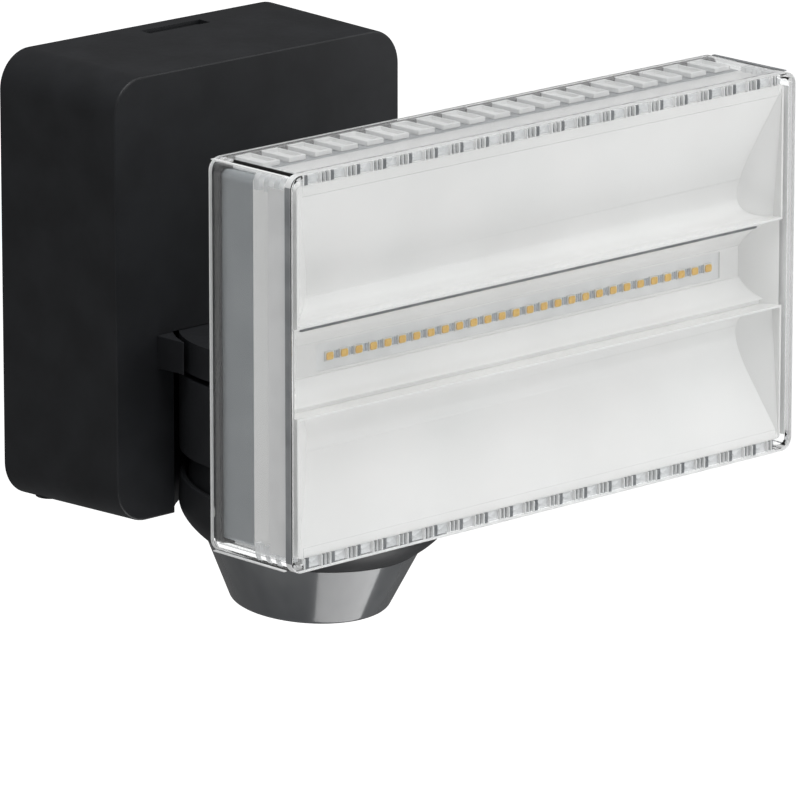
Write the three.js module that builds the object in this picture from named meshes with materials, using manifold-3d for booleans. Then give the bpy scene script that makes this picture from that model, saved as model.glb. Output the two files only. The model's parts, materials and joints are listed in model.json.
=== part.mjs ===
// Wall floodlight with a motion sensor: a wall box, a swivelling arm, a flat LED lamp head
// behind a clear cover, and a round sensor head that hangs under the arm.
// Millimetres. +Z is up, -Y points away from the wall, and the origin is the centre of the wall face.

import * as THREE from "three";
import { mergeVertices } from "three/addons/utils/BufferGeometryUtils.js";
import Module from "manifold-3d";

const wasm = await Module();
wasm.setup();

// ---------------------------------------------------------------- driving dimensions

const clearance = 0.3;
const roundSteps = 36;
const ringSteps = 18;
const smallSteps = 12;

const box = { width: 130.2, height: 153.9, depth: 57, corner: 13, draft: 1.25, wall: 2.5 };
const swivelY = -(box.depth + 28.5);
const bay = { radius: 48.6, wall: 2.2, ceiling: -13.1, ceilingWall: 2.5, flange: 3 };
const ledge = { halfWidth: 46.5, reach: 13, top: -13.4, bottom: -24.7 };
const latch = { x: 5, y: -9, width: 26, depth: 5.6, play: 0.7, tabTop: 76.9, footTop: 74.6, footLow: 69 };

const column = { radius: 46.6, top: -25, bottom: -54.5, wall: 2.5, spigotRadius: 9, spigotTop: -15.5 };
const hub = { radius: 46.6, top: -13.4, bottom: -24.6, pocketRadius: 16.2, pocketFloor: -18.4 };
const tilt = { y: -149, z: -19, eyeRadius: 7.2, eyeHalfWidth: 14, pinRadius: 3 };

const head = {
  width: 230, height: 131.3, depth: 39.4, corner: 4, wall: 2.2, front: 3, backY: -159.6, centreZ: 10.8,
};
const housing = { inset: 4, back: 2, depth: 19, wall: 2.2 };
const mirror = {
  front: 36.2, back: 19.3, shell: 2, ridgeZ: 15.6, ridgeDepth: 32, slotZ: 5.8, endFoot: 99,
  slopePull: [-29.5, 36], bowlPull: [-21, 17],
};
const leds = { count: 28, pitch: 6.41, width: 3, height: 2.6, front: 25.5 };

const sensor = { pivotZ: -69, lean: 5.1, radius: 46.7, rim: 4, filletStart: -5.8, pinRadius: 2 };
const ball = { radius: 44, low: -4, wall: 2.2, socketRadius: 44.5, socketLow: -11.2 };
const lens = { top: -17.7, topRadius: 37.2, bottom: -40.6, bottomRadius: 27.4, wall: 1.8 };

// ---------------------------------------------------------------- finishes

const finishes = {
  blackPlastic: { color: 0x2a2e31, roughness: 0.42, metalness: 0 },
  greyPlastic: { color: 0x8c8f90, roughness: 0.5, metalness: 0 },
  whitePlastic: { color: 0xf1f1ef, roughness: 0.25, metalness: 0 },
  clearPlastic: { color: 0xf4f8fa, roughness: 0.05, metalness: 0, transparent: true, opacity: 0.3 },
  smokePlastic: { color: 0x5d6062, roughness: 0.12, metalness: 0, transparent: true, opacity: 0.85 },
  rubber: { color: 0x1b1b1c, roughness: 0.85, metalness: 0 },
  steel: { color: 0xa8abad, roughness: 0.35, metalness: 1 },
  aluminium: { color: 0xc9ccce, roughness: 0.4, metalness: 1 },
  greenBoard: { color: 0x23573a, roughness: 0.5, metalness: 0 },
  whiteBoard: { color: 0xeeeeea, roughness: 0.4, metalness: 0 },
  phosphor: { color: 0xf0c452, roughness: 0.4, metalness: 0 },
};

// ---------------------------------------------------------------- solids

function mergedCorners(geometry) {
  const bare = geometry.index ? geometry.toNonIndexed() : geometry.clone();
  bare.deleteAttribute("normal");
  bare.deleteAttribute("uv");
  return mergeVertices(bare, 1e-4);
}

function isRealTriangle(a, b, c) {
  return a !== b && b !== c && c !== a;
}

// Turns a closed geometry into a solid, dropping the empty triangles at a lathe's poles.
function solidOf(geometry) {
  const merged = mergedCorners(geometry);
  const index = merged.index.array;
  const triangles = [];
  for (let i = 0; i < index.length; i += 3) {
    const [a, b, c] = index.slice(i, i + 3);
    if (isRealTriangle(a, b, c)) triangles.push(a, b, c);
  }
  const vertProperties = Float32Array.from(merged.attributes.position.array);
  const solid = (order) => {
    const triVerts = Uint32Array.from(order);
    return new wasm.Manifold(new wasm.Mesh({ numProp: 3, vertProperties, triVerts }));
  };
  const facingOut = solid(triangles);
  return facingOut.volume() > 0 ? facingOut : solid(triangles.reverse());
}

function geometryOf(solid) {
  const mesh = solid.getMesh();
  const geometry = new THREE.BufferGeometry();
  geometry.setAttribute("position", new THREE.BufferAttribute(mesh.vertProperties, 3));
  geometry.setIndex(new THREE.BufferAttribute(mesh.triVerts, 1));
  return geometry;
}

function join(...pieces) {
  const solids = pieces.map(solidOf);
  return geometryOf(solids.reduce((sum, next) => sum.add(next)));
}

function cut(base, ...tools) {
  return geometryOf(tools.map(solidOf).reduce((rest, tool) => rest.subtract(tool), solidOf(base)));
}

function common(first, second) {
  return geometryOf(solidOf(first).intersect(solidOf(second)));
}

// ---------------------------------------------------------------- basic shapes

function block([x0, x1], [y0, y1], [z0, z1]) {
  const shape = new THREE.BoxGeometry(x1 - x0, y1 - y0, z1 - z0);
  return shape.translate((x0 + x1) / 2, (y0 + y1) / 2, (z0 + z1) / 2);
}

// Rods along each axis: the span is [low, high] along the rod, the centre is its other two coordinates.
function rodZ(radius, [z0, z1], [x, y] = [0, 0], steps = smallSteps) {
  const rod = new THREE.CylinderGeometry(radius, radius, z1 - z0, steps);
  return rod.rotateX(Math.PI / 2).translate(x, y, (z0 + z1) / 2);
}

function rodY(radius, [y0, y1], [x, z] = [0, 0], steps = smallSteps) {
  return new THREE.CylinderGeometry(radius, radius, y1 - y0, steps).translate(x, (y0 + y1) / 2, z);
}

function rodX(radius, [x0, x1], [y, z] = [0, 0], steps = smallSteps) {
  const rod = new THREE.CylinderGeometry(radius, radius, x1 - x0, steps);
  return rod.rotateZ(Math.PI / 2).translate((x0 + x1) / 2, y, z);
}

function ringX(outer, inner, span, centre) {
  return cut(rodX(outer, span, centre), rodX(inner, [span[0] - 1, span[1] + 1], centre));
}

function ringZ(outer, inner, [z0, z1], centre, steps = ringSteps) {
  return cut(rodZ(outer, [z0, z1], centre, steps), rodZ(inner, [z0 - 1, z1 + 1], centre, steps));
}

function roundedRectangle(width, height, radius) {
  const x = width / 2;
  const z = height / 2;
  const quarter = Math.PI / 2;
  const shape = new THREE.Shape();
  shape.moveTo(x, -z + radius);
  shape.absarc(x - radius, z - radius, radius, 0, quarter);
  shape.absarc(-x + radius, z - radius, radius, quarter, 2 * quarter);
  shape.absarc(-x + radius, -z + radius, radius, 2 * quarter, 3 * quarter);
  shape.absarc(x - radius, -z + radius, radius, 3 * quarter, 4 * quarter);
  return shape;
}

// Extrudes a shape drawn in X and Z along Y, from y0 to y1.
function plateY(shape, [y0, y1], curveSegments = 5) {
  const plate = new THREE.ExtrudeGeometry(shape, { depth: y1 - y0, bevelEnabled: false, curveSegments });
  return plate.rotateX(Math.PI / 2).translate(0, y1, 0);
}

// Extrudes a polygon given as [y, z] points along X.
function beamX(points, [x0, x1]) {
  const shape = new THREE.Shape(points.map(([y, z]) => new THREE.Vector2(y, z)));
  const beam = new THREE.ExtrudeGeometry(shape, { depth: x1 - x0, bevelEnabled: false });
  const turn = new THREE.Matrix4().makeBasis(
    new THREE.Vector3(0, 1, 0),
    new THREE.Vector3(0, 0, 1),
    new THREE.Vector3(1, 0, 0),
  );
  return beam.applyMatrix4(turn).translate(x0, 0, 0);
}

// Extrudes a polygon given as [x, y] points along Z.
function slabZ(points, [z0, z1]) {
  const shape = new THREE.Shape(points.map(([x, y]) => new THREE.Vector2(x, y)));
  return new THREE.ExtrudeGeometry(shape, { depth: z1 - z0, bevelEnabled: false }).translate(0, 0, z0);
}

// Turns an outline of [radius, height] points about the Y axis, with its faces pointing out.
// The outline starts and ends on the axis, or ends where it starts.
function turnedY(outline, steps = smallSteps) {
  const points = outline.map(([radius, height]) => new THREE.Vector2(radius, height));
  return geometryOf(solidOf(new THREE.LatheGeometry(points, steps)));
}

function turnedZ(outline, steps = roundSteps) {
  return turnedY(outline, steps).rotateX(Math.PI / 2);
}

// Widens a solid linearly from the box's front face to its wall face, as a mould's draft does.
function draft(geometry) {
  const position = geometry.attributes.position;
  for (let i = 0; i < position.count; i += 1) {
    const share = 1 + position.getY(i) / box.depth;
    position.setX(i, position.getX(i) * (1 + (share * box.draft * 2) / box.width));
    position.setZ(i, position.getZ(i) * (1 + (share * box.draft * 2) / box.height));
  }
  return geometry;
}

// ---------------------------------------------------------------- part list

const floodlight = new THREE.Group();
floodlight.name = "floodlight";

function add(group, name, geometry, finish) {
  const mesh = new THREE.Mesh(geometry, new THREE.MeshStandardMaterial(finishes[finish]));
  mesh.name = name;
  group.add(mesh);
}

// ---------------------------------------------------------------- wall box

const plate = { thickness: 4, margin: 3.4, cornerLoss: 4, postRadius: 3, fixingRadius: 2.6 };
const fixings = [[-46, -58], [46, -58], [-46, 58], [46, 58]];
const cableEntry = { z: 34, radius: 11 };
const board = { face: -26, thickness: 1.6, hole: 1.7 };
const boardPosts = [[-48, 2], [48, 2], [-48, 64], [48, 64]];
const columnScrews = [-25, 25];
const columnScrewZ = -40;
const columnScrew = { shaft: 1.8, hole: 2.2, head: 3.6 };
const coverScrews = [-54, 54];
const coverScrewY = -10;
const coverScrew = {
  shaft: 1.8, hole: 2.1, head: 3.5, bore: 3.9, headTop: -74.6, headHeight: 1.8, tip: -67.4,
};
const lug = { halfWidth: 4, y: [-14, -3], z: [-72, -66] };
const underBox = [-85, -70];

function backPlate() {
  const outline = roundedRectangle(
    box.width - 2 * plate.margin,
    box.height - 2 * plate.margin,
    box.corner - plate.cornerLoss,
  );
  const base = plateY(outline, [-plate.thickness, 0]);
  const through = [-plate.thickness - 1, 1];
  const posts = boardPosts.map((at) => rodY(plate.postRadius, [board.face + board.thickness + 0.3, -1], at));
  const screwLugs = coverScrews.map((x) => block([x - lug.halfWidth, x + lug.halfWidth], lug.y, lug.z));
  const latchShelf = block([latch.x - 11, latch.x + 11], [-12, -3], [62, 65]);
  const fixingHoles = fixings.map((at) => rodY(plate.fixingRadius, through, at));
  const lugHoles = coverScrews.map((x) => {
    return rodZ(coverScrew.hole, [lug.z[0] - 1, lug.z[1] - 1], [x, coverScrewY]);
  });
  const blind = [-plate.thickness - 1, -1];
  const columnHoles = columnScrews.map((x) => rodY(columnScrew.hole, blind, [x, columnScrewZ]));
  const entry = rodY(cableEntry.radius, through, [0, cableEntry.z], ringSteps);
  const body = join(base, ...posts, ...screwLugs, latchShelf);
  return cut(body, entry, ...fixingHoles, ...lugHoles, ...columnHoles);
}

// A standing cylinder about the swivel axis, taller than the box.
function bayCylinder(radius, top) {
  return rodZ(radius, [-box.height, top], [0, swivelY], roundSteps);
}

function boxOutside() {
  return draft(plateY(roundedRectangle(box.width, box.height, box.corner), [-box.depth, 0]));
}

function boxInside() {
  const { width, height, corner, wall } = box;
  const outline = roundedRectangle(width - 2 * wall, height - 2 * wall, corner - wall);
  return draft(plateY(outline, [-box.depth + wall, 1]));
}

function boxCover() {
  const bosses = coverScrews.map((x) => {
    return block([x - 5.5, x + 5.5], [coverScrewY - 5, coverScrewY + 5], [-77, lug.z[0] - 0.1]);
  });
  const shell = join(cut(boxOutside(), boxInside()), ...bosses);
  const bayNotch = bayCylinder(bay.radius + bay.wall, bay.ceiling + bay.ceilingWall);
  const latchSlot = block(
    [latch.x - latch.width / 2, latch.x + latch.width / 2],
    [latch.y - latch.depth / 2, latch.y + latch.depth / 2],
    [box.height / 2 - 7, box.height / 2 + 8],
  );
  const screwHoles = coverScrews.flatMap((x) => [
    rodZ(coverScrew.hole, underBox, [x, coverScrewY]),
    rodZ(coverScrew.bore, [underBox[0], coverScrew.headTop], [x, coverScrewY]),
  ]);
  const dialHoles = dials.map(({ x }) => rodZ(dial.radius + 0.4, underBox, [x, dial.y]));
  const flangeSeat = flangeDisc(clearance);
  return cut(shell, bayNotch, flangeSeat, latchSlot, ...screwHoles, ...dialHoles);
}

// The disc from which the liner's bottom flange and its seat in the box's floor are made.
function flangeDisc(gap) {
  const disc = bayCylinder(bay.radius + bay.wall + bay.flange + gap, -box.height / 2 + box.wall + gap);
  return common(disc, block([-box.width, box.width], [-box.depth + box.wall - gap, 0], [-box.height, 0]));
}

// The round wall and ceiling of the bay, open below and in front, with a slot for the column's tongue.
function bayLiner() {
  const tongueSlot = block(
    [-tongue.halfWidth - 0.6, tongue.halfWidth + 0.6],
    [-45, -33],
    [-box.height, tongue.high + 0.6],
  );
  const wall = cut(bayCylinder(bay.radius + bay.wall, bay.ceiling + bay.ceilingWall), tongueSlot);
  const around = common(join(wall, flangeDisc(0)), boxOutside());
  return cut(around, bayCylinder(bay.radius, bay.ceiling));
}

// One of the two ledges that stand out from the box beside the hub.
function hubGuard(side) {
  const across = side < 0 ? [-ledge.halfWidth, -1] : [1, ledge.halfWidth];
  const slab = block(across, [-box.depth - ledge.reach, -box.depth], [ledge.bottom, ledge.top]);
  return cut(slab, bayCylinder(bay.radius, 0));
}

const gasket = { outerInset: 2.7, innerInset: 3.1, span: [-3.4, -0.6] };

function coverGasket() {
  const outline = (inset) => {
    return roundedRectangle(box.width - 2 * inset, box.height - 2 * inset, box.corner - inset);
  };
  const [front, back] = gasket.span;
  const middle = plateY(outline(gasket.innerInset), [front - 1, back + 1]);
  return cut(plateY(outline(gasket.outerInset), gasket.span), middle);
}

function cableGrommet() {
  const profile = [[0, 0], [10.6, 0], [10.6, -4.3], [14, -4.3], [14, -5.8], [7, -8], [0, -8]];
  return turnedY(profile.map(([r, y]) => [r, y - 0.2]), ringSteps).translate(0, 0, cableEntry.z);
}

// A tab that fills the slot in the box's top, on a wider foot that holds it inside.
function releaseLatch() {
  const { x, y, width, depth, play, tabTop, footTop, footLow } = latch;
  const half = width / 2;
  const deep = [y - depth / 2 + play, y + depth / 2 - play];
  const tab = block([x - half + play, x + half - play], deep, [footTop - 1, tabTop]);
  const foot = block([x - half - 2, x + half + 2], deep, [footLow, footTop]);
  return join(tab, foot);
}

const terminals = [-45, -34.5, -24];
const terminalZ = 30;

const terminal = { front: -20, back: -4.3, halfHeight: 8, well: 2.6, wellFloor: -12, screw: 2.2, wire: 1.7 };

function terminalBlock() {
  const { front, back, halfHeight, well, wellFloor, wire } = terminal;
  const low = terminalZ - halfHeight;
  const body = block([terminals[0] - 7, terminals[2] + 7], [front, back], [low, terminalZ + halfHeight]);
  const screwWells = terminals.map((x) => rodY(well, [front - 1, wellFloor], [x, terminalZ]));
  const wireHoles = terminals.map((x) => rodZ(wire, [low - 1, low + 4], [x, back - 5]));
  return cut(body, ...screwWells, ...wireHoles);
}

function terminalScrew(x) {
  const top = terminal.front + 1.5;
  const screw = rodY(terminal.screw, [top, terminal.wellFloor - 0.4], [x, terminalZ]);
  return cut(screw, block([x - 3, x + 3], [top - 1, top + 0.9], [terminalZ - 0.4, terminalZ + 0.4]));
}

function driverBoard() {
  const sheet = block([-54, 54], [board.face, board.face + board.thickness], [-5, 69]);
  const holes = boardPosts.map((at) => rodY(board.hole, [board.face - 1, board.face + 3], at));
  return cut(sheet, ...holes);
}

// A block-shaped component that stands on the driver board.
function onBoard(xSpan, tall, zSpan) {
  return block(xSpan, [board.face - tall, board.face - 0.3], zSpan);
}

function boxScrew(x) {
  const { shaft: shaftRadius, head: headRadius, headTop, headHeight, tip } = coverScrew;
  const shaft = rodZ(shaftRadius, [headTop - 1, tip], [x, coverScrewY]);
  const headBody = rodZ(headRadius, [headTop - headHeight, headTop], [x, coverScrewY]);
  const slotFloor = headTop - headHeight + 0.7;
  const slot = block([x - 3, x + 3], [coverScrewY - 0.4, coverScrewY + 0.4], [-80, slotFloor]);
  return cut(join(shaft, headBody), slot);
}

function columnFixing(x) {
  const shaft = rodY(columnScrew.shaft, [-9, -1.4], [x, columnScrewZ]);
  const headBody = rodY(columnScrew.head, [-9.6, -7.6], [x, columnScrewZ]);
  return join(shaft, headBody);
}

// ---------------------------------------------------------------- setting dials under the box

const dial = { y: -17, radius: 5.2, flange: 7 };
const dials = [
  { name: "time_dial", x: -22 },
  { name: "twilight_dial", x: 0 },
  { name: "range_dial", x: 22 },
];

function settingDial(x) {
  const knob = rodZ(dial.radius, [-79, -74.9], [x, dial.y]);
  const flange = rodZ(dial.flange, [-75, -73.4], [x, dial.y]);
  const slot = block([x - 4, x + 4], [dial.y - 0.7, dial.y + 0.7], [-80, -77.8]);
  return cut(join(knob, flange), slot);
}

// ---------------------------------------------------------------- fixed column under the arm

const tongue = { halfWidth: 18, low: -50, high: -30 };
const bearing = { hole: 12.6, floor: -52 };

function sensorColumn() {
  const at = [0, swivelY];
  const outside = rodZ(column.radius, [column.bottom, column.top], at, roundSteps);
  const room = rodZ(column.radius - column.wall, [bearing.floor, column.top - 3], at, roundSteps);
  const spigot = rodZ(column.spigotRadius, [column.top - 2, column.spigotTop], at, ringSteps);
  const tongueBlock = block([-tongue.halfWidth, tongue.halfWidth], [-45, -4.3], [tongue.low, tongue.high]);
  const flange = block([-31, 31], [-7.3, -4.3], [-51, -29]);
  const wireDuct = block([-6, 6], [-60, -9], [-46, -34]);
  const screwHoles = columnScrews.map((x) => rodY(columnScrew.hole, [-9, -3], [x, columnScrewZ]));
  const wireHole = rodZ(6, [-40, 0], at);
  const bearingHole = rodZ(bearing.hole, [-60, -50], at, ringSteps);
  const body = join(outside, spigot, tongueBlock, flange);
  return cut(body, room, wireDuct, ...screwHoles, wireHole, bearingHole);
}

// Closes the liner's slot under the column's tongue.
function bayShutter() {
  const foot = -box.height / 2 + box.wall + clearance;
  const slab = block([-tongue.halfWidth, tongue.halfWidth], [-45, -33], [foot, tongue.low]);
  return cut(common(slab, bayCylinder(bay.radius + bay.wall, 0)), bayCylinder(bay.radius + 0.6, 0));
}

// ---------------------------------------------------------------- swivel arm

function swivelArm() {
  const at = [0, swivelY];
  const disc = rodZ(hub.radius, [hub.bottom, hub.top], at, roundSteps);
  const neck = slabZ(
    [[-31, -112], [-tilt.eyeHalfWidth, -140], [-tilt.eyeHalfWidth, tilt.y],
      [tilt.eyeHalfWidth, tilt.y], [tilt.eyeHalfWidth, -140], [31, -112]],
    [hub.bottom, hub.top],
  );
  const eye = rodX(tilt.eyeRadius, [-tilt.eyeHalfWidth, tilt.eyeHalfWidth], [tilt.y, tilt.z], ringSteps);
  const spigotHole = rodZ(column.spigotRadius + clearance, [-30, -10], at, ringSteps);
  const pocket = rodZ(hub.pocketRadius, [hub.pocketFloor, -10], at, ringSteps);
  const pinHole = rodX(tilt.pinRadius + 0.4, [-20, 20], [tilt.y, tilt.z]);
  return cut(join(disc, neck, eye), spigotHole, pocket, pinHole);
}

// ---------------------------------------------------------------- lamp head
// Every piece of the head is drawn from the middle of its back rim: y runs from 0 to minus the depth.

function headPlate(inset, span, corner = head.corner) {
  return plateY(roundedRectangle(head.width - 2 * inset, head.height - 2 * inset, corner), span);
}

function clearCover() {
  const outside = headPlate(0, [-head.depth, 0]);
  return cut(outside, headPlate(head.wall, [-head.depth + head.front, 1], 2.5));
}

function headGasket() {
  return cut(headPlate(head.wall + 0.3, [-4.2, -2.2], 2.5), headPlate(housing.inset - 0.3, [-5, -1], 2));
}

const headScrews = [[-98, -50], [98, -50], [-98, 50], [98, 50]];
const bracketScrews = [[-24, -41], [24, -41], [-24, -18], [24, -18]];
const headGrommetAt = [0, 22];

function headHousing() {
  const outside = headPlate(housing.inset, [-housing.depth, -housing.back], 3);
  const floor = housing.back + housing.wall;
  const inside = headPlate(housing.inset + housing.wall, [-housing.depth - 1, -floor], 2);
  const screwHoles = headScrews.map((at) => rodY(1.9, [-6, 0], at));
  const bracketHoles = bracketScrews.map((at) => rodY(1.9, [-6, 0], at));
  const leadHole = rodY(5, [-6, 0], headGrommetAt);
  return cut(cut(outside, inside), ...screwHoles, ...bracketHoles, leadHole);
}

function headGrommet() {
  const profile = [[0, -1], [6, -1], [6, -1.8], [4.7, -1.8], [4.7, -6], [0, -6]];
  return turnedY(profile).translate(headGrommetAt[0], 0, headGrommetAt[1]);
}

function backScrew([x, z], tip) {
  return join(rodY(1.6, [tip, -1], [x, z]), rodY(3.2, [-1.7, -0.3], [x, z]));
}

// The mirror's section: a long slope from the rim, a quick rise to the ridge, then down to the slot.
function mirrorCurve() {
  const rimZ = head.height / 2 - housing.inset - 0.2;
  const curve = new THREE.CubicBezierCurve(
    new THREE.Vector2(-mirror.front, rimZ),
    new THREE.Vector2(...mirror.slopePull),
    new THREE.Vector2(...mirror.bowlPull),
    new THREE.Vector2(-mirror.ridgeDepth, mirror.ridgeZ),
  );
  const panel = curve.getPoints(8).map(({ x, y }) => [x, y]);
  const channelWall = [-leds.front + 1.5, mirror.slotZ + 2];
  const slotEdge = [-leds.front + 3, mirror.slotZ];
  return [...panel, channelWall, slotEdge];
}

function mirrorShell(side) {
  const frontCurve = mirrorCurve();
  const backCurve = frontCurve.map(([y, z]) => [y + mirror.shell, z]).reverse();
  const outline = [...frontCurve, ...backCurve].map(([y, z]) => [y, side * z]);
  const ordered = side > 0 ? outline : outline.reverse();
  const half = head.width / 2 - housing.inset - 0.2;
  return beamX(ordered, [-half, half]);
}

function mirrorEnd(side) {
  const rim = head.width / 2 - housing.inset - 0.2;
  const halfHeight = head.height / 2 - housing.inset - 0.2;
  const points = [[rim, -mirror.front], [rim, -mirror.back], [mirror.endFoot, -mirror.back]];
  const mirrored = side > 0 ? points : points.map(([x, y]) => [-x, y]).reverse();
  return slabZ(mirrored, [-halfHeight, halfHeight]);
}

function reflector() {
  const body = join(mirrorShell(1), mirrorShell(-1), mirrorEnd(1), mirrorEnd(-1));
  const screwHoles = headScrews.map((at) => rodY(1.9, [-26, -18], at));
  return cut(body, ...screwHoles);
}

const spreader = { halfLength: 92, halfHeight: 28, sheet: [-18.8, -16.8], ribFront: -23.2, ribHalfHeight: 5 };
const ledPlate = { halfLength: 93, halfHeight: 5.2, span: [-24.6, -23.5] };

// A sheet behind the mirror, with a rib that reaches forward to the LED board.
function heatSpreader() {
  const along = [-spreader.halfLength, spreader.halfLength];
  const sheet = block(along, spreader.sheet, [-spreader.halfHeight, spreader.halfHeight]);
  const ribDepth = [spreader.ribFront, spreader.sheet[0] + 1];
  const rib = block(along, ribDepth, [-spreader.ribHalfHeight, spreader.ribHalfHeight]);
  return join(sheet, rib);
}

function ledBoard() {
  const { halfLength, halfHeight, span } = ledPlate;
  return block([-halfLength, halfLength], span, [-halfHeight, halfHeight]);
}

function ledRow() {
  const half = (leds.count * leds.pitch) / 2;
  const strip = block([-half, half], [-leds.front + 0.35, -leds.front + 0.6], [-1, 1]);
  const chips = Array.from({ length: leds.count }, (_, i) => {
    const x = (i - (leds.count - 1) / 2) * leds.pitch;
    return block(
      [x - leds.width / 2, x + leds.width / 2],
      [-leds.front, -leds.front + 0.5],
      [-leds.height / 2, leds.height / 2],
    );
  });
  return join(strip, ...chips);
}

const bracket = { halfWidth: 29, low: -46, high: -13, ear: [14.9, 18.4], plate: [-1.7, 0.5] };

function headBracket() {
  const tiltAt = [tilt.y - head.backY, tilt.z - head.centreZ];
  const sheet = block([-bracket.halfWidth, bracket.halfWidth], bracket.plate, [bracket.low, bracket.high]);
  const [earIn, earOut] = bracket.ear;
  const ears = [[-earOut, -earIn], [earIn, earOut]].flatMap((span) => [
    rodX(tilt.eyeRadius, span, tiltAt, ringSteps),
    block(span, [0, tiltAt[0]], [tiltAt[1] - tilt.eyeRadius, tiltAt[1] + tilt.eyeRadius]),
  ]);
  const pinHole = rodX(tilt.pinRadius + 0.4, [-25, 25], tiltAt);
  const leadHole = block([-7, 7], [-3, 2], [-20, -12]);
  const screwHoles = bracketScrews.map((at) => rodY(1.9, [-3, 2], at));
  return cut(join(sheet, ...ears), pinHole, leadHole, ...screwHoles);
}

function bracketScrew([x, z]) {
  return join(rodY(1.6, [-7, 1.5], [x, z]), rodY(3, [0.8, 2.4], [x, z]));
}

function tiltPin() {
  const tiltAt = [tilt.y - head.backY, tilt.z - head.centreZ];
  const shaft = rodX(tilt.pinRadius, [-20, 23.5], tiltAt);
  const headBody = rodX(5.5, [-21.5, -18.7], tiltAt, 6);
  return join(shaft, headBody);
}

function tiltNut() {
  const tiltAt = [tilt.y - head.backY, tilt.z - head.centreZ];
  return cut(rodX(5.5, [18.7, 22.5], tiltAt, 6), rodX(tilt.pinRadius + 0.3, [15, 25], tiltAt));
}

function tiltWasher(side) {
  const tiltAt = [tilt.y - head.backY, tilt.z - head.centreZ];
  const span = side > 0 ? [14.2, 14.7] : [-14.7, -14.2];
  return ringX(6.4, tilt.pinRadius + 0.3, span, tiltAt);
}

// ---------------------------------------------------------------- sensor head
// Drawn from the tilt centre, upright; the group that holds the head leans it.

const stemTop = 19.5;

function pinBore() {
  return rodX(sensor.pinRadius + clearance, [-50, 50]);
}

function sphereArc(radius, zFrom, zTo, steps) {
  return Array.from({ length: steps + 1 }, (_, i) => {
    const z = zFrom + ((zTo - zFrom) * i) / steps;
    return [Math.sqrt(radius * radius - z * z), z];
  });
}

function sensorBall() {
  const high = column.bottom - 0.8 - sensor.pivotZ;
  const outer = sphereArc(ball.radius, ball.low, high, 4);
  const inner = sphereArc(ball.radius - ball.wall, high - ball.wall, ball.low, 2);
  const zone = turnedZ([...outer, [0, high], [0, high - ball.wall], ...inner, outer[0]]);
  const stem = rodZ(bearing.hole - clearance, [high - ball.wall, stemTop], [0, 0], ringSteps);
  const wireHole = rodZ(8, [0, stemTop + 1], [0, 0]);
  return cut(join(zone, stem), wireHole, pinBore());
}

function ballRetainer() {
  return ringZ(18, bearing.hole + 0.1, [stemTop - 2.1, stemTop - 0.3], [0, 0]);
}

function sensorCup() {
  const fillet = new THREE.QuadraticBezierCurve(
    new THREE.Vector2(sensor.radius, sensor.filletStart),
    new THREE.Vector2(sensor.radius, lens.top + 6.4),
    new THREE.Vector2(lens.topRadius + 0.3, lens.top),
  );
  const outer = [[sensor.radius, sensor.rim], ...fillet.getPoints(4).map(({ x, y }) => [x, y])];
  const mouth = lens.topRadius - 1.2;
  const socket = sphereArc(ball.socketRadius, ball.socketLow, sensor.rim, 4);
  const inner = [[mouth, lens.top], [mouth, lens.top + 2.4], ...socket];
  return cut(turnedZ([...outer, ...inner, outer[0]]), pinBore());
}

function sensorLens() {
  const { bottom, bottomRadius, topRadius, wall } = lens;
  const gapTop = lens.top - clearance;
  const edge = 1.2;
  const outer = [[topRadius, gapTop], [bottomRadius + 0.3, bottom + edge], [bottomRadius - edge, bottom]];
  const neck = topRadius - edge - clearance;
  const collar = gapTop + 3;
  const inner = [[bottomRadius - wall - edge, bottom + wall], [neck - wall, gapTop],
    [neck - wall, collar], [neck, collar], [neck, gapTop]];
  return turnedZ([[0, bottom], ...outer.reverse(), ...inner.reverse(), [0, bottom + wall]]);
}

const sensorPlate = { radius: 31.5, low: -14.6, high: -13, wireHole: 3, wireHoleX: 22 };
const pyro = { x: 12, can: 4.6, flange: 5.2, low: -19.4, high: -14.9 };

function sensorBoard() {
  const { radius, low, high, wireHole, wireHoleX } = sensorPlate;
  return cut(rodZ(radius, [low, high], [0, 0], ringSteps), rodZ(wireHole, [low - 1, high + 1], [wireHoleX, 0]));
}

function pyroSensor(x) {
  const can = rodZ(pyro.can, [pyro.low, pyro.high], [x, 0]);
  return join(can, rodZ(pyro.flange, [pyro.high - 1, pyro.high], [x, 0]));
}

function sensorPin(side) {
  const span = side > 0 ? [40, sensor.radius - 0.4] : [0.4 - sensor.radius, -40];
  const collar = side > 0 ? [38.4, 40.2] : [-40.2, -38.4];
  return join(rodX(sensor.pinRadius, span), rodX(3.2, collar));
}

// ---------------------------------------------------------------- assembly

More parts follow.
